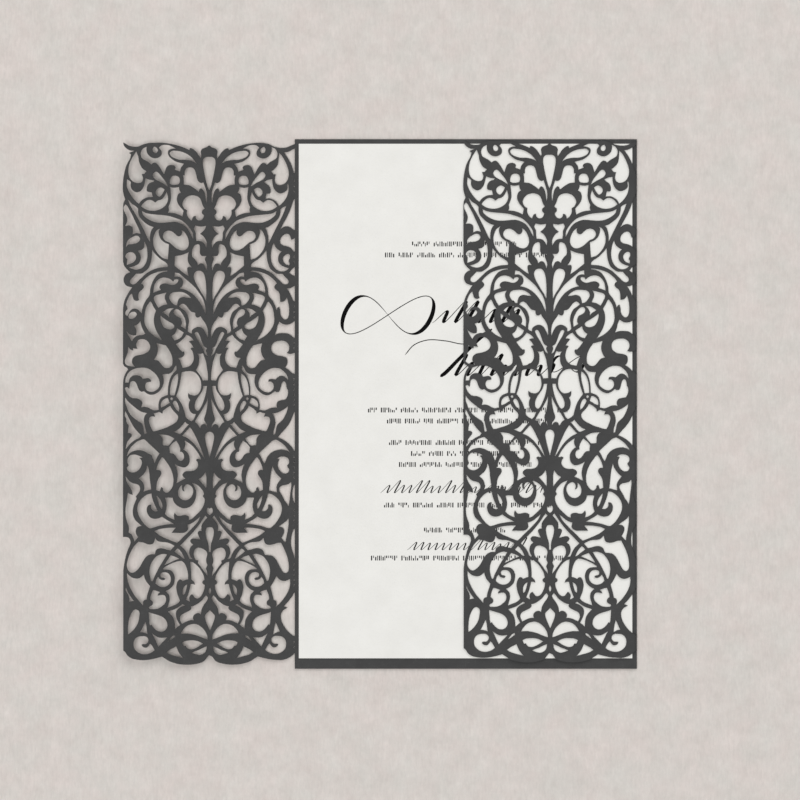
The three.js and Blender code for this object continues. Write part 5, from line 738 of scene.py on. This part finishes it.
# Off-white card with a soft felt mark
def felt_card():
    material, tree, shader = new_material("felt_card", roughness=0.85, specular=0.25)
    cloud = ramp(tree, grain(tree, 90, 6), 0.3, 0.7, (0.79, 0.782, 0.75), (0.835, 0.828, 0.797))
    specks = ramp(tree, grain(tree, SPECK_GRAIN, 3), 0.3, 0.45, (0.965, 0.965, 0.96), WHITE)
    color = multiply(tree, 1, cloud, specks)
    dress(tree, shader, color, grain(tree, FELT_GRAIN, 6, stretch=FELT_STRETCH), 0.4, 0.0002)
    return material


# Ink that sinks a little unevenly into the felt
def ink(name, shade):
    material, tree, shader = new_material(name, roughness=0.9, specular=0.06)
    patchy = ramp(tree, grain(tree, SPECK_GRAIN, 4), 0.4, 0.7, (shade,) * 3, (shade * 1.6,) * 3)
    dress(tree, shader, patchy, grain(tree, FELT_GRAIN, 6, stretch=FELT_STRETCH), 0.3, 0.0001)
    return material


# Pale plaster with a fine mottle, faint streaks and a drift between warm and cool
def plaster():
    material, tree, shader = new_material("plaster", roughness=0.9, specular=0.2)
    mottle = ramp(tree, grain(tree, 110, 10, 0.78), 0.3, 0.7, (0.608, 0.566, 0.537), (0.715, 0.671, 0.642))
    drift = ramp(tree, grain(tree, 75, 5), 0.36, 0.64, (1, 0.975, 0.968), (0.968, 0.985, 0.974))
    streaks = ramp(tree, grain(tree, 900, 4, stretch=(1.5, 0.4, 1)), 0.3, 0.7, (0.945,) * 3, (1.045,) * 3)
    color = multiply(tree, 1, multiply(tree, 1, mottle, drift), streaks)
    dress(tree, shader, color, grain(tree, 260, 8, 0.7), 0.25, 0.0006)
    return material


# The wrap: back panel, open flap, closed flap and the bends of the closed flap's fold
HALF_WIDTH = BACK_WIDTH / 2
HALF_HEIGHT = BACK_HEIGHT / 2
CLOSED_LEVEL = SHEET + CARD_THICKNESS + FLAP_CLEARANCE
BEND_RADIUS = (CLOSED_LEVEL + SHEET) / 2
RISE = math.radians(OPEN_FLAP_RISE)
CORNERS = ((-1, -1), (1, -1), (1, 1), (-1, 1))


def on_panel(point, height):
    return Vector((point.x, point.y, height)) * MM


def on_open_flap(point, height):
    out = point.x * math.cos(RISE)
    y = point.y + OPEN_FLAP_LOW - HALF_HEIGHT
    return Vector((out - HALF_WIDTH, y, height - out * math.tan(RISE))) * MM


def on_closed_flap(point, height):
    x = point.x + HALF_WIDTH - CLOSED_FLAP_INSET
    y = point.y + CLOSED_FLAP_LOW - HALF_HEIGHT
    return Vector((x, y, CLOSED_LEVEL + height)) * MM


def make_wrap():
    sheet = Sheet()
    panel = [Vector((x * HALF_WIDTH, y * HALF_HEIGHT)) for x, y in CORNERS]
    sheet.slab(panel, [(0, 1, 2), (0, 2, 3)], on_panel)
    sheet.slab(*lace_triangles(fold_slots()), on_open_flap)
    sheet.slab(*lace_triangles([]), on_closed_flap)
    for low, high in fold_tabs():
        sheet.bend(low + CLOSED_FLAP_LOW - HALF_HEIGHT, high + CLOSED_FLAP_LOW - HALF_HEIGHT)
    piece = new_piece("wrap_sheet", sheet.verts, sheet.faces, [charcoal_card(), cut_edge()])
    piece.data.polygons.foreach_set("material_index", sheet.finish)
    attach(piece, "root")
    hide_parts("wrap")


# Print on the card. Rows of plain ticks stand for the small lines, and pen waves and flourishes for the large
# ones. Their places are in the photo's pixels, each PIXEL millimetres, and pen widths in millimetres.
PIXEL = 0.37135
MIDDLE_X = 465.8
MIDDLE_Y = 404
INK_LIFT = 0.015
INK_LEVEL = SHEET + CARD_THICKNESS + INK_LIFT
INK_STEP = 0.001

# Ticks, with widths that take turns. The choices and the range are shares of the height and of the gap.
TICK_HEIGHT = 1.8
TICK_WIDTHS = (0.46, 0.28)
TICK_GAP = 0.36
WORD_GAP = 1.2
WORD_TICKS = (5, 15)
HEIGHT_CHOICES = (0.5, 0.75, 1, 1)
GAP_RANGE = (0.7, 1.2)
TICK_SEED = 7

# A pen that leans to the right and presses on its down strokes, and that starts and ends on a fine tip
PEN_DOWN = Vector((-0.5, -0.866))
PEN_SLOPE = 0.75
EIGHT_SLOPE = 0.35
STROKE_STEPS = 16
TIP = 0.3
TIP_POINTS = 5
WAVE_CHOICES = (0.8, 0.9, 1, 1, 1.6)

# Each row of ticks: its left end, its right end and its middle height
TICK_ROWS = (
    (412, 518, 244),
    (385, 554, 255),
    (368, 568, 410),
    (387, 550, 421),
    (389, 543, 442.5),
    (411, 520, 453.5),
    (399, 532, 464.5),
    (384, 551, 505),
    (424, 506, 530),
    (371, 564, 558),
)

# Lying eights: middle x and y, half length and half height
LEFT_EIGHT = (388, 315, 44, 19)
RIGHT_EIGHT = (568, 364, 16, 8)

# Pen waves: left end, right end, base line, height, pitch and seed
UPPER_WAVES = (432, 514, 323, 14, 11.7, 3)
LOWER_WAVES = (444, 550, 376, 14, 11.8, 5)
SMALL_WAVES = ((380, 540, 493, 8, 7.3, 11), (407, 520, 550, 8, 7.1, 13))
ENTRY_SWASH = ((405, 355), (414, 345), (428, 340), (446, 341), (464, 344), (480, 339), (492, 329))
LONG_STROKE = ((492, 329), (478, 340), (460, 358), (446, 372), (440, 377))


def on_card(px, py):
    return Vector(((px - MIDDLE_X) * PIXEL, (MIDDLE_Y - py) * PIXEL))


class Print:
    def __init__(self):
        self.verts = []
        self.faces = []
        self.level = INK_LEVEL

    def tick(self, x, foot, width, height):
        base = len(self.verts)
        corners = ((x, foot), (x + width, foot), (x + width, foot + height), (x, foot + height))
        self.verts += [Vector((*corner, self.level)) * MM for corner in corners]
        self.faces.append((base, base + 1, base + 2, base + 3))

    # A pointed pen's stroke: a hairline that swells where the pen comes down. Each lies a step higher.
    def stroke(self, points, hairline, full):
        self.level += INK_STEP
        base = len(self.verts)
        last = len(points) - 1
        for i, point in enumerate(points):
            ahead = (points[min(i + 1, last)] - points[max(i - 1, 0)]).normalized()
            side = Vector((-ahead.y, ahead.x))
            press = max(0, ahead.dot(PEN_DOWN)) ** 2
            taper = min(1, TIP + min(i, last - i) / TIP_POINTS)
            half = (hairline + (full - hairline) * press) * taper / 2
            for place in (point - side * half, point + side * half):
                self.verts.append(Vector((*place, self.level)) * MM)
        self.faces += [(a, a + 2, a + 3, a + 1) for a in range(base, base + 2 * last, 2)]

    def finish(self, name, material):
        piece = new_piece(name, self.verts, self.faces, [material])
        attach(piece, "root")


def tick_rows():
    dice = random.Random(TICK_SEED)
    rows = Print()
    for left, right, middle in TICK_ROWS:
        x = on_card(left, middle).x
        end = on_card(right, middle).x - TICK_WIDTHS[0]
        foot = on_card(left, middle).y - TICK_HEIGHT / 2
        while x < end:
            for tick in range(dice.randint(*WORD_TICKS)):
                height = TICK_HEIGHT * dice.choice(HEIGHT_CHOICES)
                lift = dice.choice((0, TICK_HEIGHT - height))
                if x < end:
                    rows.tick(x, foot + lift, TICK_WIDTHS[tick % 2], height)
                x += TICK_WIDTHS[tick % 2] + TICK_GAP * dice.uniform(*GAP_RANGE)
            x += WORD_GAP
    return rows


# Slanted pen waves of uneven height on a base line
def pen_waves(left, right, base, height, pitch, seed):
    dice = random.Random(seed)
    points = []
    for wave in range(round((right - left) / pitch)):
        tall = height * dice.choice(WAVE_CHOICES)
        for step in range(STROKE_STEPS):
            turn = step / STROKE_STEPS
            rise = tall * (1 - math.cos(2 * math.pi * turn)) / 2
            points.append(on_card(left + (wave + turn) * pitch + rise * PEN_SLOPE, base - rise))
    return points


# A lying figure of eight from its crossing round to it, which leans a little to the right
def lying_eight(x, y, half_length, half_height):
    points = []
    steps = 5 * STROKE_STEPS
    for step in range(steps + 1):
        turn = -2 * math.pi * (0.25 + step / steps)
        rise = 2 * half_height * math.sin(turn) * math.cos(turn)
        points.append(on_card(x + half_length * math.cos(turn) + rise * EIGHT_SLOPE, y - rise))
    return points


def pen_path(pixels):
    return smooth_run([on_card(x, y) for x, y in pixels], STROKE_STEPS)


def large_rows():
    rows = Print()
    rows.stroke(lying_eight(*LEFT_EIGHT), hairline=0.32, full=1.6)
    rows.stroke(pen_waves(*UPPER_WAVES), hairline=0.28, full=1.3)
    rows.stroke(pen_path(ENTRY_SWASH), hairline=0.34, full=0.7)
    rows.stroke(pen_path(LONG_STROKE), hairline=0.3, full=1.4)
    rows.stroke(pen_waves(*LOWER_WAVES), hairline=0.28, full=1.3)
    rows.stroke(lying_eight(*RIGHT_EIGHT), hairline=0.3, full=1)
    return rows


def script_rows():
    rows = Print()
    for waves in SMALL_WAVES:
        rows.stroke(pen_waves(*waves), hairline=0.18, full=0.5)
    return rows


make_wrap()
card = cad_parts["invitation_card"]
card.data.materials.clear()
card.data.materials.append(felt_card())
tick_rows().finish("small_rows", ink("row_ink", 0.022))
large_rows().finish("large_flourishes", ink("flourish_ink", 0.004))
script_rows().finish("small_waves", ink("wave_ink", 0.012))

# Floor, in metres. It lies just below the wrap, whose edge then has a soft shadow.
FLOOR_HALF = 3
FLOOR_LEVEL = -0.0005
floor_corners = [(x * FLOOR_HALF, y * FLOOR_HALF, FLOOR_LEVEL) for x, y in CORNERS]
new_piece("floor", floor_corners, [(0, 1, 2, 3)], [plaster()])


# Round soft lights that look at the middle of the wrap, and a pale fill all round
def soft_light(name, place, size, energy):
    light = bpy.data.lights.new(name, "AREA")
    light.shape = "DISK"
    light.size = size
    light.energy = energy
    lamp = add_object(name, light)
    lamp.location = place
    lamp.rotation_euler = (-lamp.location).to_track_quat("-Z", "Y").to_euler()


FILL_COLOR = (1, 0.995, 0.99, 1)
FILL_STRENGTH = 0.34
soft_light("upper_right", place=(0.9, 1.93, 2.12), size=3, energy=40)
soft_light("overhead", place=(-0.6, -0.5, 3), size=1.9, energy=46)
world = bpy.data.worlds.new("studio")
world.use_nodes = True
set_inputs(world.node_tree.nodes["Background"], {"Color": FILL_COLOR, "Strength": FILL_STRENGTH})
bpy.context.scene.world = world

# Camera straight above, framed as the photo is
FRAME_PIXELS = 800
CAMERA_HEIGHT = 2.0
SENSOR_WIDTH = 36
camera_data = bpy.data.cameras.new("camera")
camera_data.sensor_width = SENSOR_WIDTH
camera_data.lens = SENSOR_WIDTH * CAMERA_HEIGHT / (FRAME_PIXELS * PIXEL * MM)
camera = add_object("camera", camera_data)
frame_middle = on_card(FRAME_PIXELS / 2, FRAME_PIXELS / 2) * MM
camera.location = (*frame_middle, CAMERA_HEIGHT)
bpy.context.scene.camera = camera
bpy.context.scene.view_settings.view_transform = "Standard"
